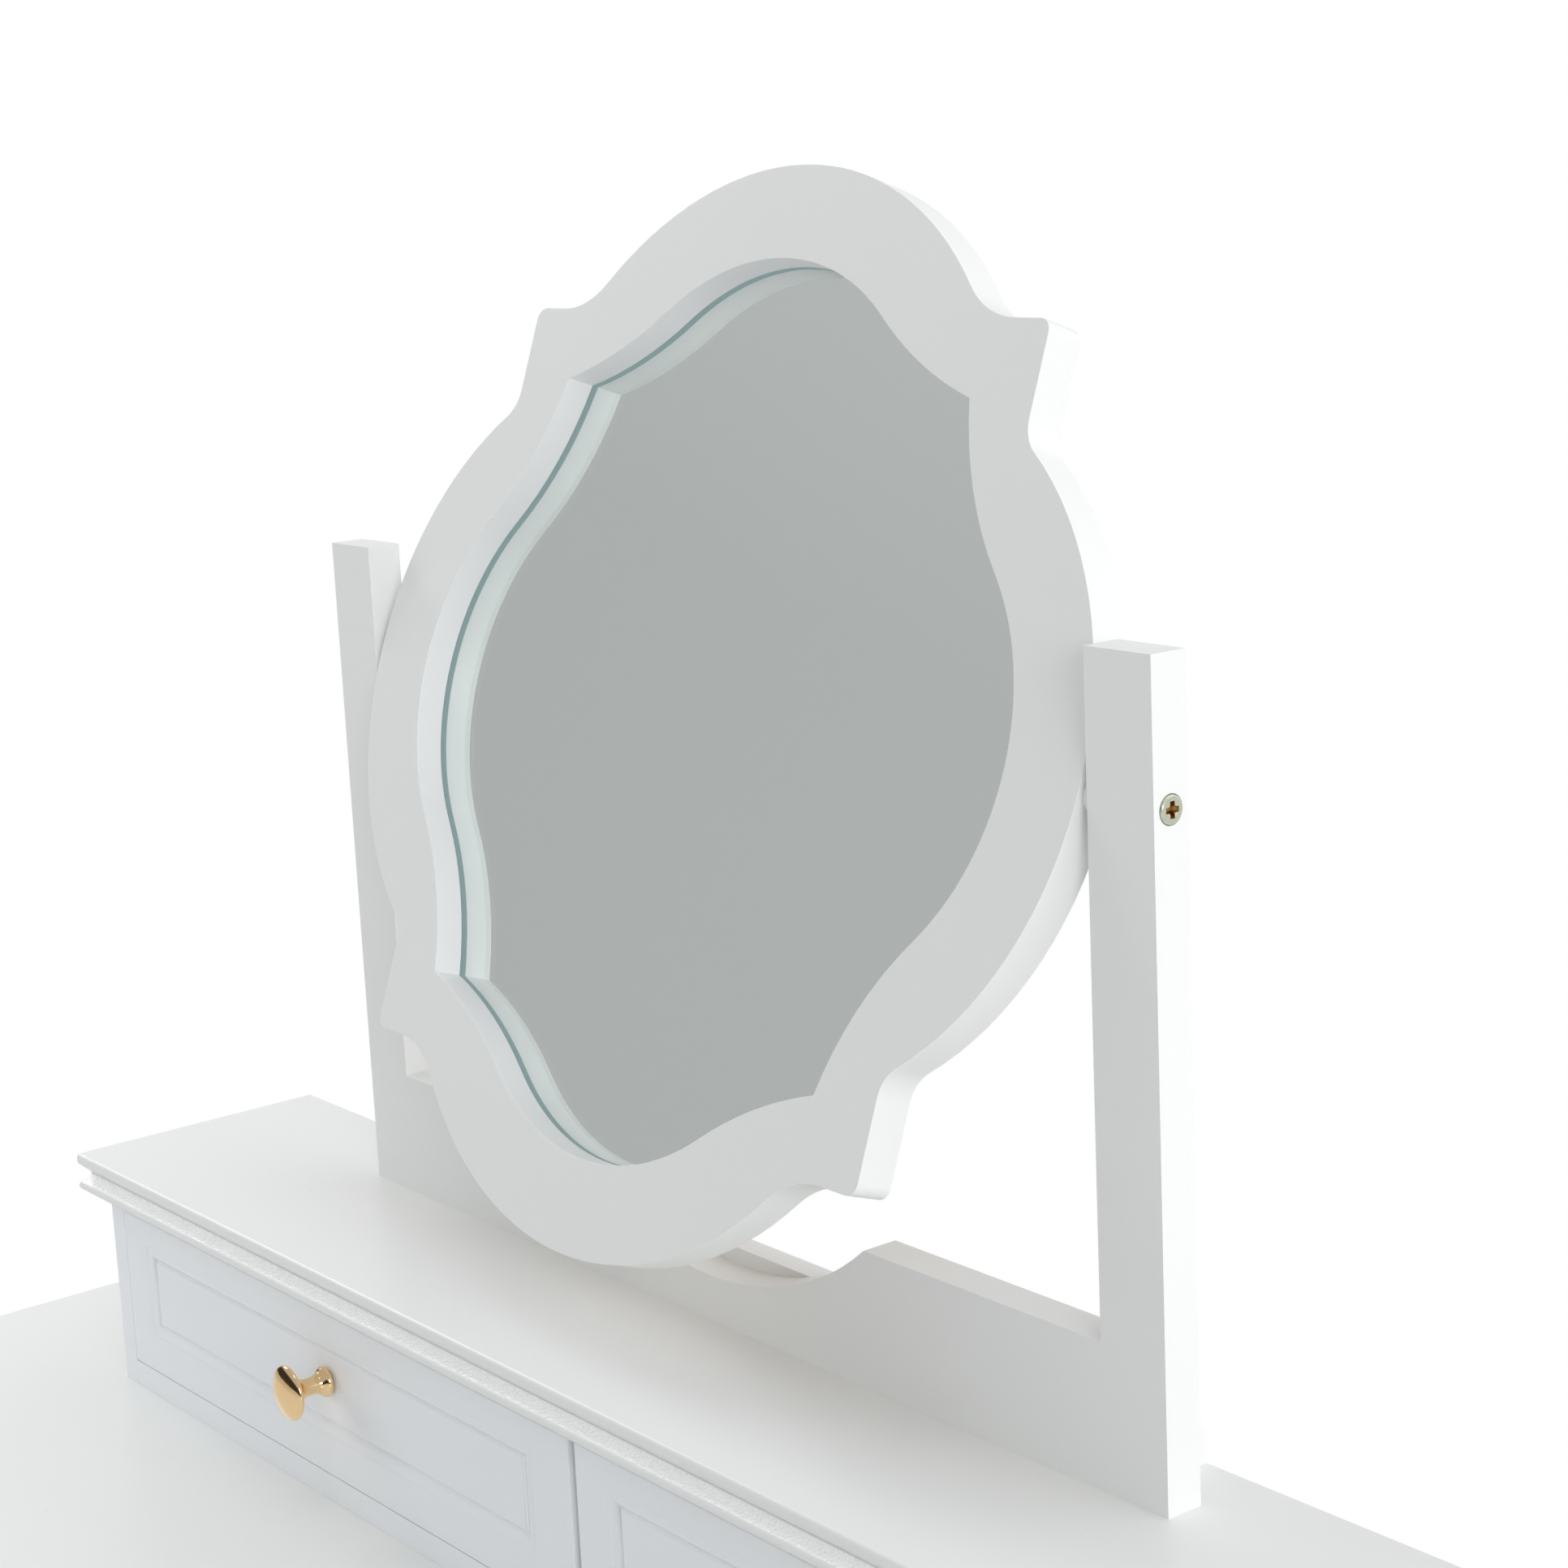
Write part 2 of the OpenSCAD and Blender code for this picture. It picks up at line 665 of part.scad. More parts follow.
module mirror_frame() {
  color("whitesmoke") difference() {
    leaned() difference() {
      layer(closed(outer_quarter, half_w, half_h), 0, frame_t);
      layer(inner_outline(0), -1, frame_t + 2);
      layer(inner_outline(ledge + fixed_gap), ledge_depth, glass_t + 1);
    }
    for (s = sides) leaned_pivot(s)
      cylinder(d = insert_d + 2 * fixed_gap, h = post_w + side_gap + insert_l + 1);
    back_screw_places() cylinder(d = back_screw_d + 2 * fixed_gap, h = back_screw_bite + 1);
  }
}

module mirror_glass() {
  color("silver") leaned() layer(inner_outline(ledge), ledge_depth + fixed_gap, glass_t);
}

module mirror_back() {
  color("peru") difference() {
    leaned() layer(inner_outline(ledge + mirror_back_lap), frame_t + fixed_gap, mirror_back_t);
    back_screw_places() translate([0, 0, -2 * mirror_back_t])
      cylinder(d = back_screw_d + 2 * fixed_gap, h = 3 * mirror_back_t);
  }
}

// Eight small screws hold the back panel, two at each lobe of the frame
back_screw_bite = 9;
back_screw_turn = 22;            // each side of a lobe's crown
module back_screw_places() {
  reach_x = half_w - border + ledge + mirror_back_lap / 2;
  reach_z = half_h - border + ledge + mirror_back_lap / 2;
  for (a = [0, 90, 180, 270], t = [-back_screw_turn, back_screw_turn])
    leaned() translate([reach_x * cos(a + t), frame_t - pivot_depth, frame_rise + reach_z * sin(a + t)])
      rotate([90, 0, 0]) children();
}

module mirror_back_screws() {
  color("silver") back_screw_places() translate([0, 0, -mirror_back_t - fixed_gap])
    wood_screw(back_screw_d, mirror_back_t + back_screw_bite);
}

module pivot_inserts() {
  color("goldenrod") for (s = sides) leaned_pivot(s) translate([0, 0, post_w + side_gap])
    difference() {
      cylinder(d = insert_d, h = insert_l);
      translate([0, 0, -1]) cylinder(d = pivot_d + 2 * fixed_gap, h = insert_l + 2);
    }
}

module pivot_spacers() {
  color("white") for (s = sides) leaned_pivot(s) translate([0, 0, post_w + face_gap])
    difference() {
      cylinder(d = spacer_d, h = side_gap - face_gap);
      translate([0, 0, -1]) cylinder(d = pivot_d + 2 * fixed_gap, h = side_gap + 2);
    }
}

module pivot_screws() {
  color("goldenrod") for (s = sides) leaned_pivot(s)
    translate([0, 0, pivot_head_t - pivot_proud])
      screw(pivot_d, post_w - pivot_head_t + pivot_proud + side_gap + insert_l, pivot_head_d, pivot_head_t);
}

// ---- the object ----

placed() table_top();
placed() table_cornice();
placed() leg(-1, true);  // leg_front_left
placed() leg(1, true);  // leg_front_right
placed() leg(-1, false);  // leg_back_left
placed() leg(1, false);  // leg_back_right
placed() table_side(-1);  // table_side_left
placed() table_side(1);  // table_side_right
placed() table_back();
placed() table_front_rail();
placed() table_divider();
placed() table_runners();
placed() box_top();
placed() box_cornice();
placed() box_side(-1);  // box_side_left
placed() box_side(1);  // box_side_right
placed() box_floor();
placed() box_back();
placed() box_divider();
placed() mirror_stand();
placed() stand_batten();
placed() stand_screws();
placed() mirror_frame();
placed() mirror_glass();
placed() mirror_back();
placed() mirror_back_screws();
placed() pivot_inserts();
placed() pivot_spacers();
placed() pivot_screws();
for (d = DRAWERS, p = DRAWER_PIECES)
  placed() drawer_piece(d, p);
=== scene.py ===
# %% [markdown]
# # A dressing table with a swing mirror
# This lesson dresses a dressing table that a workshop has already built as solid parts. The parts
# come in as a fixed frame: their sizes and places are right, but their edges are razor sharp and
# they have no finish. We model the pieces that show the most by hand, ease the edges of the rest
# the way a sander does, and paint, plate and silver everything with procedural materials.
# All lengths are in metres, X runs to the right, the front faces -Y and Z is up.

# %% Load the built parts
import json
import math

import bmesh
import bpy
from mathutils import Matrix, Vector

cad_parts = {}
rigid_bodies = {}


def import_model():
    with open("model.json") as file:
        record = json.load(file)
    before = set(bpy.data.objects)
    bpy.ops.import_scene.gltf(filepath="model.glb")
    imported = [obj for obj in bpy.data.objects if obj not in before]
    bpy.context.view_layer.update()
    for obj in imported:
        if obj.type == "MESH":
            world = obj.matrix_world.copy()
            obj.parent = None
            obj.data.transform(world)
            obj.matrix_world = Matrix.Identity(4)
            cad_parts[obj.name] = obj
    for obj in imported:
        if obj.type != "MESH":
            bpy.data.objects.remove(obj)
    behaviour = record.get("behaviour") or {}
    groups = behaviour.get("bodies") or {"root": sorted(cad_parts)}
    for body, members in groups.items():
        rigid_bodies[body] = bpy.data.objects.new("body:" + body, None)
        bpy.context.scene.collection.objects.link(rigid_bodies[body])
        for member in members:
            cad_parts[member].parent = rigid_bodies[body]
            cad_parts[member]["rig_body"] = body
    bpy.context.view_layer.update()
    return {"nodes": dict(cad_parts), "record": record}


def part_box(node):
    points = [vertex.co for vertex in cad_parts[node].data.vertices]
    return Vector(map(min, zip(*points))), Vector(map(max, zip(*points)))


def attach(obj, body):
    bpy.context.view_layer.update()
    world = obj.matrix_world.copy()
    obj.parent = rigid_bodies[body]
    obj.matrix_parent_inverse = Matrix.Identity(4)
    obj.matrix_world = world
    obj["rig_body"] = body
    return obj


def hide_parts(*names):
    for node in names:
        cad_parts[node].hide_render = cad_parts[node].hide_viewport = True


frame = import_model()
mm = 0.001

# %% [markdown]
# ## A few habits
# Operators work on whatever is selected, and the parts that we just loaded are all selected. So
# one small helper leaves a single object selected, and others open edit mode and select faces or
# edges by their place. Writing them once keeps every later step short and safe.


# %% Selecting things
def only(piece):
    """Leaves one object selected and active."""
    bpy.ops.object.select_all(action="DESELECT")
    piece.select_set(True)
    bpy.context.view_layer.objects.active = piece


def start_editing(piece):
    """Opens edit mode on one object, with everything in it selected."""
    only(piece)
    bpy.ops.object.mode_set(mode="EDIT")
    bpy.ops.mesh.select_all(action="SELECT")


def stop_editing():
    """Goes back to object mode, which writes the edits into the mesh."""
    bpy.ops.object.mode_set(mode="OBJECT")


def pick(piece, kind, wanted):
    """In edit mode, selects the faces, edges or verts for which wanted(item) is true."""
    bpy.ops.mesh.select_mode(type={"verts": "VERT", "edges": "EDGE", "faces": "FACE"}[kind])
    bpy.ops.mesh.select_all(action="DESELECT")
    mesh = bmesh.from_edit_mesh(piece.data)
    chosen = [item for item in getattr(mesh, kind) if wanted(item)]
    for item in chosen:
        item.select_set(True)
    mesh.select_flush_mode()
    bmesh.update_edit_mesh(piece.data)
    return len(chosen)


# %% Adding a block
def block(name, low, high):
    """A cube primitive that fills the space between two corners, with its place in its mesh."""
    bpy.ops.object.select_all(action="DESELECT")
    bpy.ops.mesh.primitive_cube_add(size=1, location=(low + high) / 2, scale=high - low)
    bpy.ops.object.transform_apply(location=True, rotation=True, scale=True)
    bpy.context.active_object.name = name
    return bpy.context.active_object


# %% Rounding edges
def apply_all(piece):
    """Makes every modifier of a piece part of its mesh."""
    only(piece)
    for modifier in list(piece.modifiers):
        bpy.ops.object.modifier_apply(modifier=modifier.name)


def ease_edges(piece, width, limit="ANGLE"):
    """Rounds the sharp edges, then lets the flat faces keep their own shading."""
    bevel = piece.modifiers.new("eased", "BEVEL")
    bevel.width = width
    bevel.segments = 3
    bevel.limit_method = limit
    bevel.angle_limit = math.radians(32)
    only(piece)
    bpy.ops.object.shade_smooth_by_angle(angle=math.radians(50))
    flat = piece.modifiers.new("flat_faces", "WEIGHTED_NORMAL")
    flat.keep_sharp = True
    apply_all(piece)


# %% [markdown]
# The built parts arrive as loose triangles, and they may not be changed themselves. So a part
# whose shape is right is copied, its triangles are joined into whole faces, and the copy gets
# its eased edges.


# %% Copying a built part
def joined_copy(node, name):
    """A copy of a built part with its triangles joined into whole faces."""
    mesh = frame["nodes"][node].data.copy()
    mesh.materials.clear()
    piece = bpy.data.objects.new(name, mesh)
    bpy.context.scene.collection.objects.link(piece)
    start_editing(piece)
    bpy.ops.mesh.customdata_custom_splitnormals_clear()
    bpy.ops.mesh.remove_doubles(threshold=0.01 * mm)
    bpy.ops.mesh.mark_sharp(clear=True)
    bpy.ops.mesh.dissolve_limited(angle_limit=math.radians(0.5))
    stop_editing()
    return piece


def eased_copy(node, width):
    """A joined copy of a built part with its sharp edges rounded."""
    piece = joined_copy(node, node + "_finished")
    ease_edges(piece, width)
    return piece


# %% What each part is made of
slot_of = {row["node"]: row["material_slot"] for row in frame["record"]["subparts"]}


def dress(piece, node, *materials):
    """Gives a finished piece its materials, hides the built part it stands for, and hangs it on that
    part's body.
    """
    for material in materials:
        piece.data.materials.append(material)
    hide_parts(node)
    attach(piece, frame["nodes"][node]["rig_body"])


print("finishes:", sorted(set(slot_of.values())))


# %% [markdown]
# ## Camera
# A product photographer puts the camera to the right of the furniture and a little above the
# mirror, with a short telephoto lens, so that the posts stay nearly parallel. The place is
# measured from the front of the mirror stand and the top of the drawer box. The camera is tipped
# a little to one side, as hand-held cameras are.

# %% Camera
stand_low, stand_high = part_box("mirror_stand")
lens = 70.5
camera_turn = math.radians(51.774)
camera_drop = math.radians(11.667)
camera_roll = math.radians(-2.622)
camera_from_stand = Vector((922.7, -678.0, 450.8)) * mm

camera = bpy.data.objects.new("camera", bpy.data.cameras.new("camera"))
bpy.context.scene.collection.objects.link(camera)
camera.data.sensor_width = 36
camera.data.lens = lens
camera.data.clip_start = 0.05
camera.location = Vector((0, stand_low.y, stand_low.z)) + camera_from_stand
aim = Matrix.Rotation(camera_turn, 4, "Z") @ Matrix.Rotation(math.pi / 2 - camera_drop, 4, "X")
camera.rotation_euler = (aim @ Matrix.Rotation(camera_roll, 4, "Z")).to_euler()
bpy.context.scene.camera = camera
print("camera stands at", [round(x, 3) for x in camera.location])

# %% [markdown]
# ## Light
# White furniture is lit softly from all around, or it burns out. A pale sky does most of the
# work. A large panel on the right lifts the right-hand faces, and one further forward lifts the
# fronts. A weak one overhead gives the tops and the metal a highlight, and a far one on the left
# reaches the faces that lean that way. Two small ones stand in front on the left: they draw the
# post's soft shadow on the mirror frame and stay out of reflections.

# %% Panels of light
room_middle = Vector((0, 0.15, 1.05))


def light_panel(name, direction, distance, size, watts, shows=True):
    """A square light that points at the mirror from a direction, and may stay out of reflections."""
    data = bpy.data.lights.new(name, "AREA")
    data.size = size
    data.energy = watts
    panel = bpy.data.objects.new(name, data)
    panel.visible_glossy = shows
    panel.visible_transmission = False
    panel.location = room_middle + Vector(direction).normalized() * distance
    panel.rotation_euler = (panel.location - room_middle).to_track_quat("Z", "Y").to_euler()
    bpy.context.scene.collection.objects.link(panel)
    print(name, "stands", distance, "m away")


light_panel("right_panel", (0.95, 0.05, 0.22), 3.0, 1.8, 11)
light_panel("front_panel", (0.9, -0.42, 0.25), 3.0, 1.0, 13)
light_panel("top_panel", (0.1, -0.25, 1.0), 2.6, 0.7, 3)
light_panel("far_panel", (-0.84, -0.08, 0.53), 3.0, 0.9, 17)
light_panel("left_panel", (-0.86, -0.42, 0.24), 3.0, 0.45, 4.4, shows=False)
light_panel("near_panel", (-0.82, -0.55, 0.15), 1.5, 0.9, 3.6, shows=False)

# %% [markdown]
# Materials and the sky are made of nodes. Two helpers keep that readable: one adds a node with
# its settings and values, the other joins two sockets.


# %% Adding and joining nodes
def add(tree, kind, values=None, **settings):
    """Adds a node, sets its properties, and then its input values by name or number."""
    node = tree.nodes.new(kind)
    for name, value in settings.items():
        setattr(node, name, value)
    for name, value in (values or {}).items():
        node.inputs[name].default_value = value
    return node


def join(tree, source, target):
    """Links one socket to another."""
    tree.links.new(source, target)


def blend_colours(tree, factor, first, second):
    """Mixes two colours, each a plain colour or a socket, by a factor of either kind."""
    node = add(tree, "ShaderNodeMix", data_type="RGBA")
    colour_a, colour_b, colour_out = 6, 7, 2
    for place, value in ((0, factor), (colour_a, first), (colour_b, second)):
        if isinstance(value, bpy.types.NodeSocket):
            join(tree, value, node.inputs[place])
        else:
            node.inputs[place].default_value = value
    return node.outputs[colour_out]


# %% [markdown]
# The sky isn't even: a photographer's white walls stand on the right and behind, and the room in
# front is dim. The camera sees pure white behind the furniture. Glass sees a plain grey room, which
# is what gives the mirror its even grey, and polished metal sees a dark band in that room, without
# which a gold knob looks like plastic.

# %% The sky
sky_everywhere = 0.03
sky_gains = {"right": 1.15, "left": 0.05, "ahead": 0.0, "behind": 0.6, "up": 0.4}
sky_colour = (0.98, 0.99, 1.0, 1)
room_grey = (0.50, 0.505, 0.51, 1)
room_dark = (0.04, 0.035, 0.03, 1)
white = (1, 1, 1, 1)


def maths(tree, first, second, operation="ADD"):
    """One step of arithmetic on two values, each a number or a socket."""
    node = add(tree, "ShaderNodeMath", operation=operation)
    for place, value in enumerate((first, second)):
        if isinstance(value, bpy.types.NodeSocket):
            join(tree, value, node.inputs[place])
        else:
            node.inputs[place].default_value = value
    return node.outputs[0]


def ranged(tree, source, low, high, from_low=0.0, from_high=1.0):
    """Maps a changing value onto a range; low and high may be sockets."""
    node = add(tree, "ShaderNodeMapRange", {"From Min": from_low, "From Max": from_high})
    join(tree, source, node.inputs["Value"])
    for name, value in (("To Min", low), ("To Max", high)):
        if isinstance(value, bpy.types.NodeSocket):
            join(tree, value, node.inputs[name])
        else:
            node.inputs[name].default_value = value
    return node.outputs["Result"]


def make_sky():
    """One even tint whose strength differs by direction, and what mirrors and metal see instead."""
    world = bpy.data.worlds.new("sky")
    bpy.context.scene.world = world
    world.use_nodes = True
    tree = world.node_tree
    tree.nodes.clear()
    place = add(tree, "ShaderNodeTexCoord")
    axes = add(tree, "ShaderNodeSeparateXYZ")
    join(tree, place.outputs["Generated"], axes.inputs[0])
    ways = {"right": ("X", 1), "left": ("X", -1), "ahead": ("Y", -1), "behind": ("Y", 1), "up": ("Z", 1)}
    strength = sky_everywhere
    for way, gain in sky_gains.items():
        axis, sign = ways[way]
        towards = maths(tree, maths(tree, axes.outputs[axis], sign, "MULTIPLY"), 0.0, "MAXIMUM")
        strength = maths(tree, strength, maths(tree, towards, gain, "MULTIPLY"))
    light = add(tree, "ShaderNodeBackground", {"Color": sky_colour})
    join(tree, strength, light.inputs["Strength"])
    behind = ranged(tree, axes.outputs["Y"], 0.0, 1.0, -0.1, 0.25)
    beside = ranged(tree, axes.outputs["X"], 0.0, 1.0, 0.1, 0.4)
    pale_walls = maths(tree, behind, beside, "MAXIMUM")
    glass_room = add(tree, "ShaderNodeBackground")
    join(tree, blend_colours(tree, pale_walls, room_grey, white), glass_room.inputs["Color"])
    above = ranged(tree, axes.outputs["Z"], 0.0, 1.0, 0.28, 0.36)
    dim_room = blend_colours(tree, above, room_dark, room_grey)
    metal_room = add(tree, "ShaderNodeBackground")
    join(tree, blend_colours(tree, behind, dim_room, white), metal_room.inputs["Color"])
    seen = add(tree, "ShaderNodeBackground", {"Color": white})
    path = add(tree, "ShaderNodeLightPath")
    shown = light
    rooms = {"Is Glossy Ray": metal_room, "Is Transmission Ray": glass_room, "Is Camera Ray": seen}
    for ray, room in rooms.items():
        mix = add(tree, "ShaderNodeMixShader")
        join(tree, path.outputs[ray], mix.inputs[0])
        join(tree, shown.outputs[0], mix.inputs[1])
        join(tree, room.outputs[0], mix.inputs[2])
        shown = mix
    output = add(tree, "ShaderNodeOutputWorld")
    join(tree, shown.outputs[0], output.inputs["Surface"])


make_sky()
bpy.context.scene.view_settings.view_transform = "Standard"
print("sky", sky_everywhere, "and more from", [way for way, gain in sky_gains.items() if gain])

# %% [markdown]
# ## Floor
# The furniture stands on a plain pale floor. Near the feet the floor is ordinary paint, so it
# keeps the shadow. Further out it fades to pure white, so that no horizon shows.

# %% Floor
floor_reach = 14
shadow_reach = (0.6, 1.6)


def floor_paint():
    """Pale paint near the furniture that fades to white further out."""
    material = bpy.data.materials.new("floor_paint")
    material.use_nodes = True
    tree = material.node_tree
    tree.nodes.clear()
    pale = (0.86, 0.86, 0.86, 1)
    paint = add(tree, "ShaderNodeBsdfPrincipled", {"Base Color": pale, "Roughness": 0.7})
    glow = add(tree, "ShaderNodeEmission")
    place = add(tree, "ShaderNodeTexCoord")
    distance = add(tree, "ShaderNodeVectorMath", operation="LENGTH")
    join(tree, place.outputs["Object"], distance.inputs[0])
    near, far = shadow_reach
    fade = add(tree, "ShaderNodeMapRange", {"From Min": near, "From Max": far},
               interpolation_type="SMOOTHSTEP")
    join(tree, distance.outputs["Value"], fade.inputs["Value"])
    path = add(tree, "ShaderNodeLightPath")
    seen_far = add(tree, "ShaderNodeMath", operation="MULTIPLY")
    join(tree, fade.outputs["Result"], seen_far.inputs[0])
    join(tree, path.outputs["Is Camera Ray"], seen_far.inputs[1])
    mix = add(tree, "ShaderNodeMixShader")
    join(tree, seen_far.outputs[0], mix.inputs[0])
    join(tree, paint.outputs[0], mix.inputs[1])
    join(tree, glow.outputs[0], mix.inputs[2])
    output = add(tree, "ShaderNodeOutputMaterial")
    join(tree, mix.outputs[0], output.inputs["Surface"])
    return material


bpy.ops.object.select_all(action="DESELECT")
bpy.ops.mesh.primitive_plane_add(size=2 * floor_reach)
floor = bpy.context.active_object
floor.name = "floor"
floor.data.materials.append(floor_paint())
print("the floor reaches", floor_reach, "m each way")

# %% [markdown]
# ## Paint
# Sprayed satin paint isn't quite even. It drifts a little in tone over a board, it has a fine
# skin like orange peel that breaks up its shine, and a few grains of dust settle in it. These
# effects are wanted in several paints, so each is a node group with its own inputs, built once.


# %% Making a group
def new_group(name, inputs, outputs):
    """An empty node group with named sockets, and the nodes at its two ends."""
    group = bpy.data.node_groups.new(name, "ShaderNodeTree")
    kinds = {"value": "NodeSocketFloat", "colour": "NodeSocketColor"}
    for socket, (kind, value) in inputs.items():
        made = group.interface.new_socket(name=socket, in_out="INPUT", socket_type=kinds[kind])
        made.default_value = value
    for socket, kind in outputs.items():
        group.interface.new_socket(name=socket, in_out="OUTPUT", socket_type=kinds[kind])
    return group, group.nodes.new("NodeGroupInput"), group.nodes.new("NodeGroupOutput")


def place_group(tree, group, values):
    """Puts a group into a material's tree, with its own input values."""
    node = add(tree, "ShaderNodeGroup", node_tree=group)
    for name, value in values.items():
        node.inputs[name].default_value = value
    return node


# %% The sprayed skin
def make_sprayed_skin():
    """Tone drift, orange peel and a few specks, for any sprayed surface."""
    group, start, end = new_group(
        "sprayed_skin",
        {"Colour": ("colour", white), "Drift": ("value", 0.03), "Peel per metre": ("value", 450.0),
         "Roughness": ("value", 0.38), "Specks": ("value", 0.1)},
        {"Colour": "colour", "Roughness": "value", "Height": "value"},
    )
    place = add(group, "ShaderNodeTexCoord")
    drift = add(group, "ShaderNodeTexNoise", {"Scale": 3.5, "Detail": 2.0})
    join(group, place.outputs["Object"], drift.inputs["Vector"])
    tone = add(group, "ShaderNodeHueSaturation")
    join(group, start.outputs["Colour"], tone.inputs["Color"])
    darker = maths(group, 1.0, start.outputs["Drift"], "SUBTRACT")
    join(group, ranged(group, drift.outputs["Fac"], darker, 1.0, 0.3, 0.7), tone.inputs["Value"])
    grains = add(group, "ShaderNodeTexVoronoi", {"Scale": 70.0, "Randomness": 1.0})
    join(group, place.outputs["Object"], grains.inputs["Vector"])
    near_grain = ranged(group, grains.outputs["Distance"], 1.0, 0.0, 0.014, 0.028)
    few = add(group, "ShaderNodeTexNoise", {"Scale": 9.0})
    join(group, place.outputs["Object"], few.inputs["Vector"])
    some = ranged(group, few.outputs["Fac"], 0.0, 1.0, 0.52, 0.6)
    speck = maths(group, maths(group, near_grain, some, "MULTIPLY"), start.outputs["Specks"], "MULTIPLY")
    grit = (0.30, 0.28, 0.25, 1)
    join(group, blend_colours(group, speck, tone.outputs["Color"], grit), end.inputs["Colour"])
    peel = add(group, "ShaderNodeTexNoise", {"Detail": 1.0, "Roughness": 0.4})
    join(group, place.outputs["Object"], peel.inputs["Vector"])
    join(group, start.outputs["Peel per metre"], peel.inputs["Scale"])
    join(group, maths(group, peel.outputs["Fac"], speck), end.inputs["Height"])
    rougher = maths(group, start.outputs["Roughness"], 0.06)
    join(group, ranged(group, drift.outputs["Fac"], start.outputs["Roughness"], rougher, 0.35, 0.65),
         end.inputs["Roughness"])
    return group


sprayed_skin = make_sprayed_skin()
print("group", sprayed_skin.name, "has", len(sprayed_skin.nodes), "nodes")


# %% From a group to a material
def new_material(name, plain):
    """A material with one Principled shader, whose plain values are set on its own sockets."""
    material = bpy.data.materials.new(name)
    material.use_nodes = True
    tree = material.node_tree
    shader = tree.nodes["Principled BSDF"]
    for socket, value in plain.items():
        shader.inputs[socket].default_value = value
    return material, tree, shader


def raise_surface(tree, shader, height, depth):
    """Lets a changing height tilt the surface; depth is its size in metres."""
    bump = add(tree, "ShaderNodeBump", {"Strength": 1.0, "Distance": depth})
    join(tree, height, bump.inputs["Height"])
    join(tree, bump.outputs["Normal"], shader.inputs["Normal"])


def finish_from(name, group, values, depth, plain):
    """A material that takes colour, roughness and height from a group."""
    material, tree, shader = new_material(name, plain)
    node = place_group(tree, group, values)
    join(tree, node.outputs["Colour"], shader.inputs["Base Color"])
    join(tree, node.outputs["Roughness"], shader.inputs["Roughness"])
    if depth > 0:
        raise_surface(tree, shader, node.outputs["Height"], depth)
    return material


# %% The paints
white_paint = finish_from(
    "white_paint", sprayed_skin,
    {"Colour": (0.85, 0.86, 0.85, 1), "Drift": 0.025, "Roughness": 0.36}, 0.02 * mm, {"IOR": 1.5})
# A cooler, paler copy of the white paint for the drawer box and fronts: painted light, a cool light on the
# lower faces. The paint itself is the same white.
cool_white_paint = finish_from(
    "cool_white_paint", sprayed_skin,
    {"Colour": (0.90, 0.92, 0.94, 1), "Drift": 0.02, "Roughness": 0.34}, 0.02 * mm, {"IOR": 1.5})
top_paint = finish_from(
    "top_paint", sprayed_skin,
    {"Colour": (0.85, 0.86, 0.85, 1), "Drift": 0.02, "Roughness": 0.33, "Specks": 0.6},
    0.015 * mm, {"IOR": 1.5})
# Rough, glittering paint for the rail's cove; its paler colour and faint white glow are painted light.
milled_paint_and_glow = finish_from(
    "milled_paint_and_glow", sprayed_skin,
    {"Colour": (0.94, 0.95, 0.94, 1), "Drift": 0.02, "Peel per metre": 800.0, "Roughness": 0.13},
    0.8 * mm, {"IOR": 2.1, "Emission Color": (1.0, 1.0, 1.0, 1), "Emission Strength": 0.14})
# Painted reflection: a paler, faintly glowing paint for the lip's inner wall, for the light that the glass
# throws back onto it.
lip_glow_paint = finish_from(
    "lip_glow_paint", sprayed_skin,
    {"Colour": (0.95, 0.97, 0.97, 1), "Drift": 0.0, "Roughness": 0.36}, 0.02 * mm,
    {"IOR": 1.5, "Emission Color": (0.9, 1.0, 1.0, 1), "Emission Strength": 0.05})
# Painted reflection: a teal paint that glows, for the underside of the frame's lip, where the glass edge
# shows.
under_lip_glow = new_material(
    "under_lip_glow", {"Base Color": (0.3, 0.4, 0.4, 1), "Roughness": 0.6,
                    "Emission Color": (0.20, 0.28, 0.29, 1), "Emission Strength": 1.0})[0]
nylon = finish_from(
    "nylon", sprayed_skin,
    {"Colour": (0.86, 0.86, 0.82, 1), "Drift": 0.05, "Roughness": 0.45, "Specks": 0.0},
    0.01 * mm, {"IOR": 1.53})
print("paints:", white_paint.name, cool_white_paint.name, milled_paint_and_glow.name)

# %% [markdown]
# ## Bare board
# Inside the drawers the board is left bare. Fibres run along a board, so the noise that draws
# them is stretched: it changes quickly across the grain and slowly along it. The same group with
# a darker colour and almost no stretch makes hardboard.


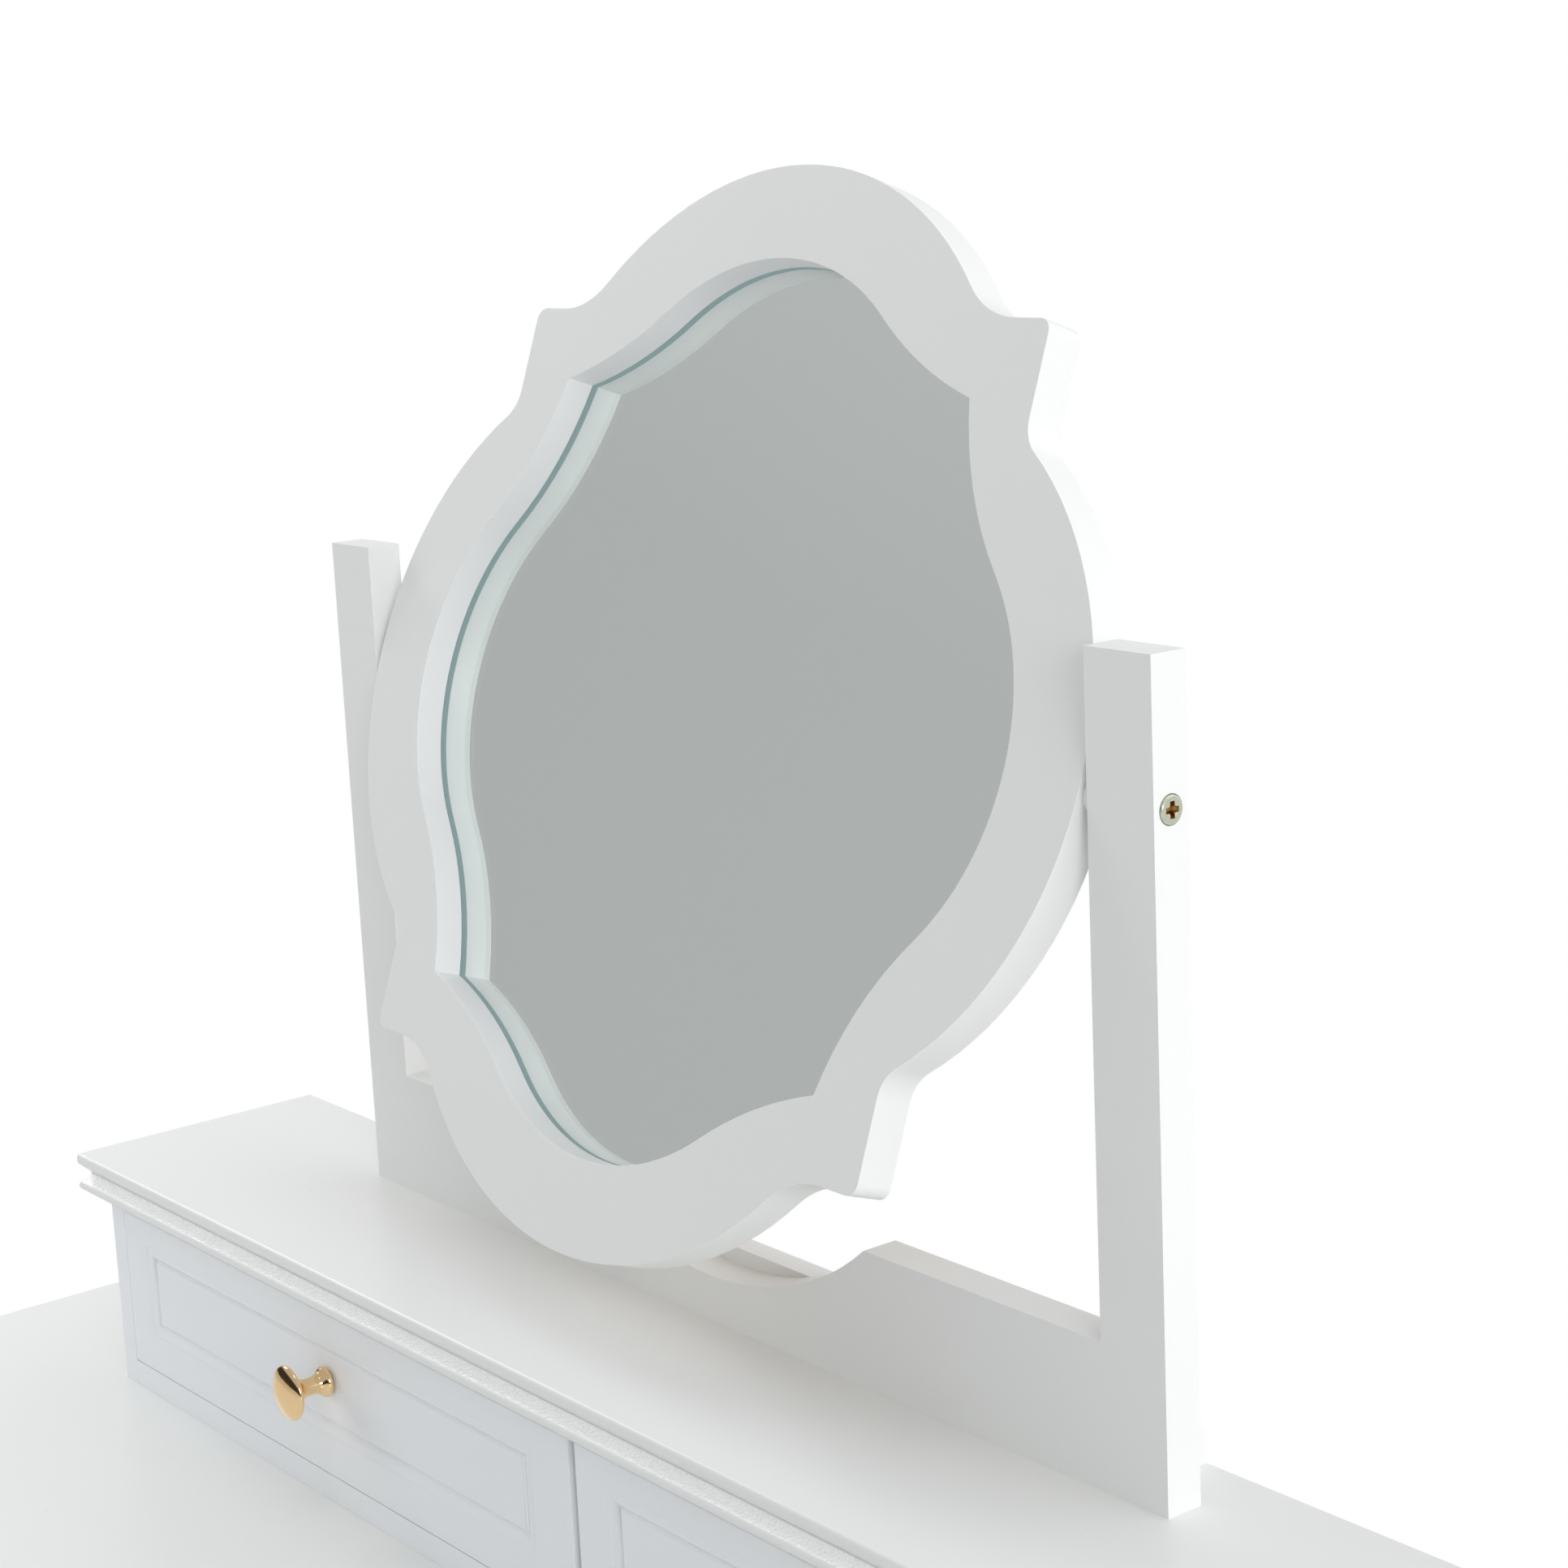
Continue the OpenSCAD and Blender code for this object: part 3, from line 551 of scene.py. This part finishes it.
# %% The fibres
def make_fibres():
    """Streaks along one direction and short pores, for boards and hardboard."""
    group, start, end = new_group(
        "fibres",
        {"Light": ("colour", white), "Dark": ("colour", white), "Across per metre": ("value", 220.0),
         "Stretch": ("value", 14.0), "Roughness": ("value", 0.6)},
        {"Colour": "colour", "Roughness": "value", "Height": "value"},
    )
    place = add(group, "ShaderNodeTexCoord")
    shrink = add(group, "ShaderNodeCombineXYZ", {"Y": 1.0, "Z": 1.0})
    join(group, maths(group, 1.0, start.outputs["Stretch"], "DIVIDE"), shrink.inputs["X"])
    along = add(group, "ShaderNodeVectorMath", operation="MULTIPLY")
    join(group, place.outputs["Object"], along.inputs[0])
    join(group, shrink.outputs[0], along.inputs[1])
    streaks = add(group, "ShaderNodeTexNoise", {"Detail": 5.0, "Roughness": 0.65, "Distortion": 0.6})
    join(group, along.outputs[0], streaks.inputs["Vector"])
    join(group, start.outputs["Across per metre"], streaks.inputs["Scale"])
    band = add(group, "ShaderNodeTexNoise", {"Scale": 18.0, "Detail": 2.0, "Distortion": 1.2})
    join(group, along.outputs[0], band.inputs["Vector"])
    both = maths(group, streaks.outputs["Fac"], band.outputs["Fac"])
    shade = ranged(group, both, 0.0, 1.0, 0.75, 1.25)
    join(group, blend_colours(group, shade, start.outputs["Light"], start.outputs["Dark"]),
         end.inputs["Colour"])
    join(group, streaks.outputs["Fac"], end.inputs["Height"])
    smoother = maths(group, start.outputs["Roughness"], 0.12, "SUBTRACT")
    join(group, ranged(group, shade, smoother, start.outputs["Roughness"]), end.inputs["Roughness"])
    return group


fibres = make_fibres()
bare_wood = finish_from(
    "bare_wood", fibres,
    {"Light": (0.80, 0.66, 0.46, 1), "Dark": (0.62, 0.46, 0.28, 1)}, 0.05 * mm, {"IOR": 1.5})
hardboard = finish_from(
    "hardboard", fibres,
    {"Light": (0.42, 0.27, 0.14, 1), "Dark": (0.25, 0.15, 0.075, 1), "Across per metre": 900.0,
     "Stretch": 1.6, "Roughness": 0.55}, 0.04 * mm, {"IOR": 1.5})
print("boards:", bare_wood.name, hardboard.name)

# %% [markdown]
# ## Metal
# Polished plate, passivated zinc and plain zinc differ in colour and gloss, but all carry hair
# scratches and a cloudy film. One group gives the film and the scratches.


# %% The film and the scratches
def make_metal_film():
    """Two colours that drift into each other, with fine scratches."""
    group, start, end = new_group(
        "metal_film",
        {"Colour": ("colour", white), "Film": ("colour", white), "Film per metre": ("value", 60.0),
         "Roughness": ("value", 0.2), "Haze": ("value", 0.1)},
        {"Colour": "colour", "Roughness": "value", "Height": "value"},
    )
    place = add(group, "ShaderNodeTexCoord")
    cloud = add(group, "ShaderNodeTexNoise", {"Detail": 3.0})
    join(group, place.outputs["Object"], cloud.inputs["Vector"])
    join(group, start.outputs["Film per metre"], cloud.inputs["Scale"])
    share = ranged(group, cloud.outputs["Fac"], 0.0, 1.0, 0.35, 0.7)
    join(group, blend_colours(group, share, start.outputs["Colour"], start.outputs["Film"]),
         end.inputs["Colour"])
    stretched = add(group, "ShaderNodeMapping", {"Scale": (1.0, 0.12, 0.12), "Rotation": (0.3, 0.5, 0.9)})
    join(group, place.outputs["Object"], stretched.inputs["Vector"])
    hair = add(group, "ShaderNodeTexNoise", {"Scale": 2600.0, "Detail": 2.0})
    join(group, stretched.outputs[0], hair.inputs["Vector"])
    join(group, hair.outputs["Fac"], end.inputs["Height"])
    hazy = maths(group, start.outputs["Roughness"], start.outputs["Haze"])
    join(group, ranged(group, share, start.outputs["Roughness"], hazy), end.inputs["Roughness"])
    return group


metal_film = make_metal_film()
gold = finish_from(
    "gold", metal_film,
    {"Colour": (0.99, 0.74, 0.44, 1), "Film": (0.94, 0.66, 0.36, 1), "Film per metre": 40.0,
     "Roughness": 0.07, "Haze": 0.05}, 0.001 * mm, {"Metallic": 1.0})
yellow_zinc = finish_from(
    "yellow_zinc", metal_film,
    {"Colour": (0.76, 0.78, 0.62, 1), "Film": (0.62, 0.64, 0.52, 1), "Film per metre": 520.0,
     "Roughness": 0.28, "Haze": 0.16}, 0.02 * mm, {"Metallic": 1.0})
old_gold = finish_from(
    "old_gold", metal_film,
    {"Colour": (0.62, 0.36, 0.11, 1), "Film": (0.22, 0.10, 0.03, 1), "Film per metre": 700.0,
     "Roughness": 0.25, "Haze": 0.1}, 0.006 * mm, {"Metallic": 1.0})
zinc = finish_from(
    "zinc", metal_film,
    {"Colour": (0.68, 0.69, 0.71, 1), "Film": (0.56, 0.59, 0.64, 1), "Film per metre": 300.0,
     "Roughness": 0.25, "Haze": 0.15}, 0.004 * mm, {"Metallic": 1.0})
print("metals:", gold.name, yellow_zinc.name, zinc.name)

# %% [markdown]
# ## Glass and silver
# A mirror is clear glass with a film of silver on its back. The glass is seen twice, going in and coming
# out, so it tints reflections green. The teal line under the lip of the frame is a painted reflection: a
# glowing teal paint on the lip's underside.

# %% Glass and silver
glass, glass_tree, glass_shader = new_material(
    "mirror_glass", {"Base Color": (0.965, 0.985, 0.98, 1), "IOR": 1.52, "Transmission Weight": 1.0})
smears = add(glass_tree, "ShaderNodeTexNoise", {"Scale": 14.0, "Detail": 4.0, "Distortion": 1.5})
glass_place = add(glass_tree, "ShaderNodeTexCoord")
join(glass_tree, glass_place.outputs["Object"], smears.inputs["Vector"])
join(glass_tree, ranged(glass_tree, smears.outputs["Fac"], 0.0, 0.02, 0.45, 0.8),
     glass_shader.inputs["Roughness"])
silver = finish_from(
    "silver", metal_film,
    {"Colour": (0.95, 0.96, 0.95, 1), "Film": (0.945, 0.955, 0.945, 1), "Film per metre": 5.0,
     "Roughness": 0.0, "Haze": 0.01}, 0.0, {"Metallic": 1.0})
print("the mirror has", glass.name, "and", silver.name)

# %% [markdown]
# The built parts name their finish by a slot. One table gives the material for each slot, so that
# a loop can dress many parts.

# %% Slots and finishes
finishes = {
    "white_paint": white_paint, "cool_white_paint": cool_white_paint, "bare_wood": bare_wood,
    "hardboard": hardboard, "mirror_glass": glass, "gold": gold, "yellow_zinc": yellow_zinc,
    "zinc": zinc, "nylon": nylon,
}
print("finishes in the table:", len(finishes))

# %% [markdown]
# ## Boards, posts and rails
# A board that comes off the saw has edges sharp enough to cut, and paint would run thin on them,
# so a sander eases every edge. A bevel modifier does the same here. The width differs: a hidden
# drawer board gets about half a millimetre, and a leg that people bump into gets one and a half.

# %% Easing what is already the right shape
easing = {
    "mirror_stand": 0.6, "stand_batten": 0.8,
    "leg_front_left": 1.5, "leg_front_right": 1.5, "leg_back_left": 1.5, "leg_back_right": 1.5,
    "table_side_left": 0.8, "table_side_right": 0.8, "table_back": 0.5, "table_front_rail": 0.8,
    "table_divider": 0.6, "table_runners": 0.8, "box_side_left": 0.2, "box_side_right": 0.2,
    "box_floor": 0.2, "box_back": 0.5, "box_divider": 0.6, "mirror_back": 0.5,
    "pivot_inserts": 0.3, "pivot_spacers": 0.5,
}
for node, width in easing.items():
    dress(eased_copy(node, width * mm), node, finishes[slot_of[node]])
print("eased", len(easing), "pieces")

# %% [markdown]
# ## Tops and their moulded rails
# The front edge of each top has two roundings with a short upright between them, and slopes in
# below. The rail under it starts with a cove, swells to a nose and slopes in to the drawers. Both
# are one outline, pulled along the whole width. The outline is written as steps in from the
# front and down from the top, in millimetres.
#
# The cutter leaves the fibreboard's core open in the cove. The core drinks the paint there, and the skin
# stays rough and glitters. The cove's paint is also paler and glows faintly: painted light, which
# brightens the cove that the nose above shades. So the rail gets two paints, and the cove's faces are
# picked by the way they face.


# %% A bar with one outline
def rounding(inward, down, radius, start, end, steps=8):
    """Points of an arc, counted from the top of the circle towards the front and down."""
    turns = [math.radians(start + (end - start) * step / steps) for step in range(steps + 1)]
    return [(inward - radius * math.sin(turn), down - radius * math.cos(turn)) for turn in turns]


def bar(node, outline, end_edge):
    """Pulls an outline along the width of a built piece and eases its two ends."""
    low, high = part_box(node)
    bpy.ops.object.select_all(action="DESELECT")
    bpy.ops.mesh.primitive_circle_add(vertices=len(outline), radius=1, fill_type="NGON")
    piece = bpy.context.active_object
    piece.name = node + "_finished"
    for vert, (inward, down) in zip(piece.data.vertices, outline):
        vert.co = (low.x, low.y + inward * mm, high.z - down * mm)
    start_editing(piece)
    bpy.ops.mesh.extrude_region_move(TRANSFORM_OT_translate={"value": (high.x - low.x, 0, 0)})
    bpy.ops.mesh.select_all(action="SELECT")
    bpy.ops.mesh.normals_make_consistent(inside=False)
    pick(piece, "edges", lambda edge: abs(edge.verts[0].co.x - edge.verts[1].co.x) < mm)
    bpy.ops.transform.edge_bevelweight(value=1)
    stop_editing()
    ease_edges(piece, end_edge * mm, limit="WEIGHT")
    only(piece)
    bpy.ops.object.shade_smooth_by_angle(angle=math.radians(35))
    return piece


# %% Tops
nose_r = 2.0
nose_t = 1.4
notch_in = 6.8
for node in ("table_top", "box_top"):
    low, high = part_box(node)
    depth = (high.y - low.y) / mm
    height = (high.z - low.z) / mm
    outline = rounding(nose_r, nose_r, nose_r, 0, 90) + rounding(nose_r, nose_r + nose_t, nose_r, 90, 138)
    outline += [(notch_in, height), (depth, height), (depth, 0.4), (depth - 0.1, 0.1), (depth - 0.4, 0)]
    dress(bar(node, outline, 0.4), node, top_paint)
print("tops: 2")

# %% Moulded rails
rough_glow_from = 1.4 * mm
rough_glow_to = 6.5 * mm
cove = [(notch_in, 0), (6.6, 0.55), (6.1, 1.15), (5.3, 1.7), (4.2, 2.25), (3.1, 2.65), (2.1, 3.0)]
for node in ("table_cornice", "box_cornice"):
    low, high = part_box(node)
    depth = (high.y - low.y) / mm
    height = (high.z - low.z) / mm
    outline = cove + rounding(nose_r, 5.2, nose_r, 25, 142, 12)
    outline += [(15.5, height), (depth, height), (depth, 0)]
    rail = bar(node, outline, 0.2)
    dress(rail, node, white_paint, milled_paint_and_glow)
    # The cove's faces get the rough paint with its painted light.
    rough = 0
    for face in rail.data.polygons:
        inward = face.center.y - low.y
        if face.normal.z > 0.35 and face.normal.y < -0.1 and rough_glow_from < inward < rough_glow_to:
            face.material_index = 1
            rough += 1
    print(node, "has", rough, "rough faces")

# %% [markdown]
# ## Drawer trays
# A drawer is a tray of thin boards behind a painted front. The boards are bare, and the bottom is
# a thin hardboard sheet that slides in grooves.

# %% Trays
drawers = ("box_drawer_left", "box_drawer_right", "table_drawer_left", "table_drawer_right")
tray_boards = {"side_left": 0.6, "side_right": 0.6, "back": 0.6, "bottom": 0.3}
for drawer in drawers:
    for board, width in tray_boards.items():
        node = f"{drawer}_{board}"
        dress(eased_copy(node, width * mm), node, finishes[slot_of[node]])
print("trays:", len(drawers))

# %% [markdown]
# ## Drawer fronts
# Each front is one board with a routed panel: a small square step, a quarter round that sinks
# away from it, and the edge of the panel standing up again. A router bit leaves round outer
# corners and sharp inner ones. In edit mode that is a row of insets, each a little deeper. The
# outline starts with rounded corners, and once the insets have eaten the rounding, the corner
# points meet and are merged, so the rest stays sharp.

# %% The routed profile
front_edge = 0.25
panel_left = 20
panel_right = 26.5
panel_above = 11
panel_below = 17.5
corner_round = 2.0
step_insets = ((0.8, 0.5), (0.6, 0.12), (0.56, 0.03))
sinking_insets = ((1.4, 0.03), (1.1, 0.18), (1.0, 0.4), (0.8, 0.55), (0.6, 0.6))
rising_insets = ((0.4, -0.8), (0.45, -0.5), (0.5, -0.1))
top_closer = 0.35


def sink(rows):
    """Insets the selected face once for each row of width and depth."""
    for width, depth in rows:
        bpy.ops.mesh.inset(thickness=width * mm, depth=-depth * mm, use_even_offset=True)


# %% One front
def drawer_front(node):
    """A board with a routed panel, the size of the built front."""
    low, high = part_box(node)
    piece = block(node + "_finished", low, high + Vector((0, 0, top_closer * mm)))
    start_editing(piece)
    pick(piece, "faces", lambda face: face.normal.y < -0.9)
    bpy.ops.mesh.delete(type="ONLY_FACE")
    left = low.x + panel_left * mm
    right = high.x - panel_right * mm
    bottom = low.z + panel_below * mm
    top = high.z - panel_above * mm
    middle = Vector(((left + right) / 2, low.y, (bottom + top) / 2))
    bpy.ops.mesh.select_all(action="DESELECT")
    bpy.ops.mesh.primitive_plane_add(size=1, location=middle, rotation=(math.pi / 2, 0, 0))
    bpy.ops.transform.resize(value=(right - left, 1, top - bottom), center_override=middle)
    bpy.ops.mesh.bevel(offset=corner_round * mm, segments=5, affect="VERTICES")
    pick(piece, "faces", lambda face: face.normal.y < -0.9)
    sink(step_insets)
    bpy.ops.mesh.remove_doubles(threshold=0.4 * mm)
    sink(sinking_insets)
    sink(rising_insets)
    bpy.ops.mesh.select_mode(type="EDGE")
    bpy.ops.mesh.select_all(action="DESELECT")
    bpy.ops.mesh.select_non_manifold()
    bpy.ops.mesh.fill()
    bpy.ops.mesh.select_all(action="SELECT")
    bpy.ops.mesh.normals_make_consistent(inside=False)
    outer = (low.x, high.x, low.z, high.z + top_closer * mm)
    pick(piece, "edges", lambda edge: len(edge.link_faces) == 2 and edge.calc_face_angle() > 1.5
         and all(on_outline(vert.co, outer) for vert in edge.verts))
    bpy.ops.transform.edge_bevelweight(value=1)
    stop_editing()
    ease_edges(piece, front_edge * mm, limit="WEIGHT")
    return piece


def on_outline(point, outer):
    """Whether a point lies on the outer rectangle of a front."""
    left, right, bottom, top = outer
    near = 0.01 * mm
    return min(abs(point.x - left), abs(point.x - right), abs(point.z - bottom), abs(point.z - top)) < near


# %% The four fronts
for drawer in drawers:
    front = drawer_front(drawer + "_front")
    # The fronts take the cooler copy of the white paint, a painted cool light.
    dress(front, drawer + "_front", cool_white_paint)
    print(front.name, "has", len(front.data.polygons), "faces")

# %% [markdown]
# ## Turned pieces
# Knobs and screws are turned on a lathe. The same shape grows here from one disc: its face is extruded up
# to the next height and resized to the next radius, ring after ring. One knob is modelled and the others
# are copies with a mesh of their own; each screw is turned to its own length, then copied into place.


# %% A lathe
def turned(name, profile, segments=48):
    """Turns a profile of (radius, height) rings in millimetres, closed at both ends."""
    bpy.ops.object.select_all(action="DESELECT")
    radius, height = profile[0]
    bpy.ops.mesh.primitive_circle_add(
        vertices=segments, radius=radius * mm, fill_type="NGON", location=(0, 0, height * mm))
    bpy.ops.object.transform_apply(location=True, rotation=True, scale=True)
    piece = bpy.context.active_object
    piece.name = name
    start_editing(piece)
    bpy.ops.mesh.select_mode(type="FACE")
    for (radius, height), (next_radius, next_height) in zip(profile, profile[1:]):
        rise = (0, 0, (next_height - height) * mm)
        bpy.ops.mesh.extrude_region_move(TRANSFORM_OT_translate={"value": rise})
        if next_radius == 0:
            bpy.ops.mesh.merge(type="CENTER")
        else:
            grow = next_radius / radius
            bpy.ops.transform.resize(value=(grow, grow, 1), center_override=(0, 0, next_height * mm))
    bpy.ops.mesh.select_all(action="SELECT")
    bpy.ops.mesh.normals_make_consistent(inside=False)
    stop_editing()
    return piece


def placed_copy(master, name, at, direction):
    """A copy with its own mesh, turned from upright to a direction and moved into place."""
    piece = bpy.data.objects.new(name, master.data.copy())
    bpy.context.scene.collection.objects.link(piece)
    piece.rotation_euler = direction.to_track_quat("Z", "Y").to_euler()
    piece.location = at
    only(piece)
    bpy.ops.object.transform_apply(location=True, rotation=True, scale=True)
    return piece


# %% The knob
knob_profile = (
    (6.2, 0), (6.7, 0.6), (6.75, 1.6), (6.3, 2.6), (5.2, 3.6), (4.3, 5), (3.85, 7), (3.75, 9.5),
    (4.1, 12), (5.2, 14.3), (7.5, 16), (10.3, 17.1), (11.8, 17.8), (12.25, 18.7), (12, 19.6),
    (11, 20.5), (8.5, 21.7), (5, 22.6), (2, 22.95), (0, 23),
)
knob_master = turned("knob_master", knob_profile)
only(knob_master)
smoother = knob_master.modifiers.new("smoother", "SUBSURF")
smoother.levels = 2
smoother.render_levels = 2
apply_all(knob_master)
bpy.ops.object.shade_smooth()
for drawer in drawers:
    node = drawer + "_knob"
    low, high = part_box(node)
    seat = Vector(((low.x + high.x) / 2, high.y, (low.z + high.z) / 2))
    dress(placed_copy(knob_master, node + "_finished", seat, Vector((0, -1, 0))), node, gold)
bpy.data.objects.remove(knob_master)
print("knobs:", len(drawers))

# %% [markdown]
# ## Screws
# A screw's head is what shows. The recess is a cross with tapered arms, cut with a Boolean, and
# fine ticks between the arms. The shank is inside the wood, so it stays plain.


# %% Cutting the recess
def cut_bar(piece, length, width, depth, surface, turn):
    """Cuts one tapered bar down into the face of a head."""
    half = Vector((length / 2, width / 2, 0)) * mm
    low = -half + Vector((0, 0, surface - depth)) * mm
    high = half + Vector((0, 0, surface + 1)) * mm
    bar = block("bar", low, high)
    start_editing(bar)
    pick(bar, "faces", lambda face: face.normal.z < -0.9)
    bpy.ops.transform.resize(value=(0.35, 0.5, 1), center_override=(0, 0, low.z))
    stop_editing()
    bar.rotation_euler.z = turn
    bpy.ops.object.transform_apply(location=True, rotation=True, scale=True)
    cut = piece.modifiers.new("recess", "BOOLEAN")
    cut.object = bar
    cut.solver = "EXACT"
    apply_all(piece)
    bpy.data.objects.remove(bar)


def screw_master(head_profile, shank_d, shank_l, recess):
    """A screw that points down, with its head's face up and the recess's faces marked."""
    length, width, depth = recess
    face = head_profile[-1][1]
    tip = ((0.3, -shank_l), (shank_d / 2, 1.4 - shank_l), (shank_d / 2, 0))
    screw = turned("screw_master", tip + head_profile, segments=32)
    for quarter in range(2):
        cut_bar(screw, length, width, depth, face, quarter * math.pi / 2)
        cut_bar(screw, length * 0.95, 0.22 * width, 0.2 * depth, face, (quarter + 0.5) * math.pi / 2)
    only(screw)
    bpy.ops.object.shade_smooth_by_angle(angle=math.radians(35))
    for side in screw.data.polygons:
        from_middle = math.hypot(side.center.x, side.center.y)
        if from_middle < length / 2 * mm and 0 < side.center.z < (face - 0.02) * mm:
            side.material_index = 1
    return screw


# %% Finding the built screws
def built_screws(node, pointing):
    """For each screw of a built part: the middle of its head's face, its direction and length."""
    measured = joined_copy(node, "measured")
    start_editing(measured)
    bpy.ops.mesh.separate(type="LOOSE")
    stop_editing()
    found = []
    for part in list(bpy.context.selected_objects):
        points = [vert.co.copy() for vert in part.data.vertices]
        direction = pointing(sum(points, Vector()) / len(points))
        along = [point.dot(direction) for point in points]
        rim = [point for point, way in zip(points, along) if way < min(along) + 0.02 * mm]
        found.append((sum(rim, Vector()) / len(rim), direction, max(along) - min(along)))
        bpy.data.objects.remove(part)
    return found


def set_screws(node, pointing, head_profile, shank_d, recess, face_metal, recess_metal):
    """Models the screws of a built part and joins them into one piece, as the part has them.

    The metals go on before the copies are joined, because a join keeps which faces have which."""
    head_t = head_profile[-1][1]
    copies = []
    for face, direction, length in built_screws(node, pointing):
        master = screw_master(head_profile, shank_d, length / mm - head_t, recess)
        underside = face + direction * head_t * mm
        for metal in (face_metal, recess_metal):
            master.data.materials.append(metal)
        copies.append(placed_copy(master, node + "_finished", underside, -direction))
        bpy.data.objects.remove(master)
    bpy.ops.object.select_all(action="DESELECT")
    for piece in copies:
        piece.select_set(True)
    bpy.context.view_layer.objects.active = copies[0]
    if len(copies) > 1:
        bpy.ops.object.join()
    dress(copies[0], node)
    print(node, "has", len(copies), "screws and", len(copies[0].data.polygons), "faces")


# %% [markdown]
# ## The mirror frame
# The frame's edges are eased like a board's. The glass throws light back onto the wall of the
# frame's lip, and a little of it gets under the lip. A renderer finds such light slowly, so two
# paints with a faint glow stand in for it. Which faces get them is told by the mirror's own
# direction: walls stand across it, and the underside of the lip faces straight back.


# %% The mirror's direction
def flat_face_normal(node):
    """The direction of a plate's front face."""
    plate = joined_copy(node, "measured")
    front = max(plate.data.polygons, key=lambda face: -face.normal.y * face.area)
    normal = front.normal.copy()
    bpy.data.objects.remove(plate)
    return normal


mirror_front = flat_face_normal("mirror_glass")
print("the mirror leans back", round(math.degrees(math.asin(mirror_front.z)), 1), "degrees")

# %% The frame
lip_depth = 6 * mm
surround = eased_copy("mirror_frame", 1.2 * mm)
dress(surround, "mirror_frame", white_paint, lip_glow_paint, under_lip_glow)
low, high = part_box("mirror_frame")
centre = (low + high) / 2
# Inner walls of the lip get the pale painted reflection, and the lip's underside the teal one.
for face in surround.data.polygons:
    lean = face.normal.dot(mirror_front)
    inward = centre - face.center
    inward -= mirror_front * inward.dot(mirror_front)
    if lean < -0.9:
        depth = (face.center - centre).dot(mirror_front)
        face.material_index = 2 if depth > -lip_depth else 0
    elif abs(lean) < 0.5 and face.normal.dot(inward.normalized()) > 0.2:
        face.material_index = 1
painted = [face.material_index for face in surround.data.polygons]
print("frame faces by paint", [painted.count(paint) for paint in range(3)])

# %% [markdown]
# ## The screws in place
# Three heads are needed: a wide one for wood, a small one for the mirror's back, and a flat round
# one for the pivots, whose recess is deep and golden. Each call below says which way its screws
# point.

# %% Setting the screws
wide_head = ((4.0, 0), (4.0, 0.9), (3.6, 1.7), (2.6, 2.25), (1.6, 2.4))
small_head = ((2.5, 0), (2.5, 0.5), (2.25, 1.05), (1.6, 1.4), (1.0, 1.5))
pivot_head = ((4.85, 0), (5.0, 0.15), (5.0, 1.9), (4.85, 2.25), (4.35, 2.6), (4.2, 2.6))
set_screws("pivot_screws", lambda at: Vector((-1 if at.x > 0 else 1, 0, 0)), pivot_head, 6,
           (7.2, 2.4, 2.3), yellow_zinc, old_gold)
set_screws("mirror_back_screws", lambda at: mirror_front, small_head, 2.5, (2.4, 0.6, 0.9), zinc, zinc)
wood_recess = (4.2, 1.1, 1.5)
set_screws("stand_screws", lambda at: Vector((0, 0, 1)), wide_head, 4, wood_recess, zinc, zinc)
for drawer in drawers:
    node = drawer + "_knob_screw"
    set_screws(node, lambda at: Vector((0, -1, 0)), wide_head, 4, wood_recess, zinc, zinc)

# %% [markdown]
# ## The mirror
# The built glass is one plate. Here it becomes what a mirror is: a pane, and behind it a film of
# silver. Both are copies of the plate, with one face moved in along the mirror's own direction.

# %% The pane and the silver
pane_gap = 0.03
silver_t = 0.12


def slice_of_glass(name, front_in, back_in, material):
    """A copy of the glass plate with its front and back faces moved in, in millimetres."""
    piece = joined_copy("mirror_glass", name)
    start_editing(piece)
    pick(piece, "faces", lambda face: face.normal.dot(mirror_front) > 0.99)
    bpy.ops.transform.translate(value=-mirror_front * front_in * mm)
    pick(piece, "faces", lambda face: face.normal.dot(mirror_front) < -0.99)
    bpy.ops.transform.translate(value=mirror_front * back_in * mm)
    stop_editing()
    bpy.ops.object.shade_flat()
    dress(piece, "mirror_glass", material)
    return piece


glass_t = 3
slice_of_glass("mirror_pane", 0, silver_t + pane_gap, glass)
slice_of_glass("mirror_silver", glass_t - silver_t, 0, silver)
print("the mirror is a pane and a film")
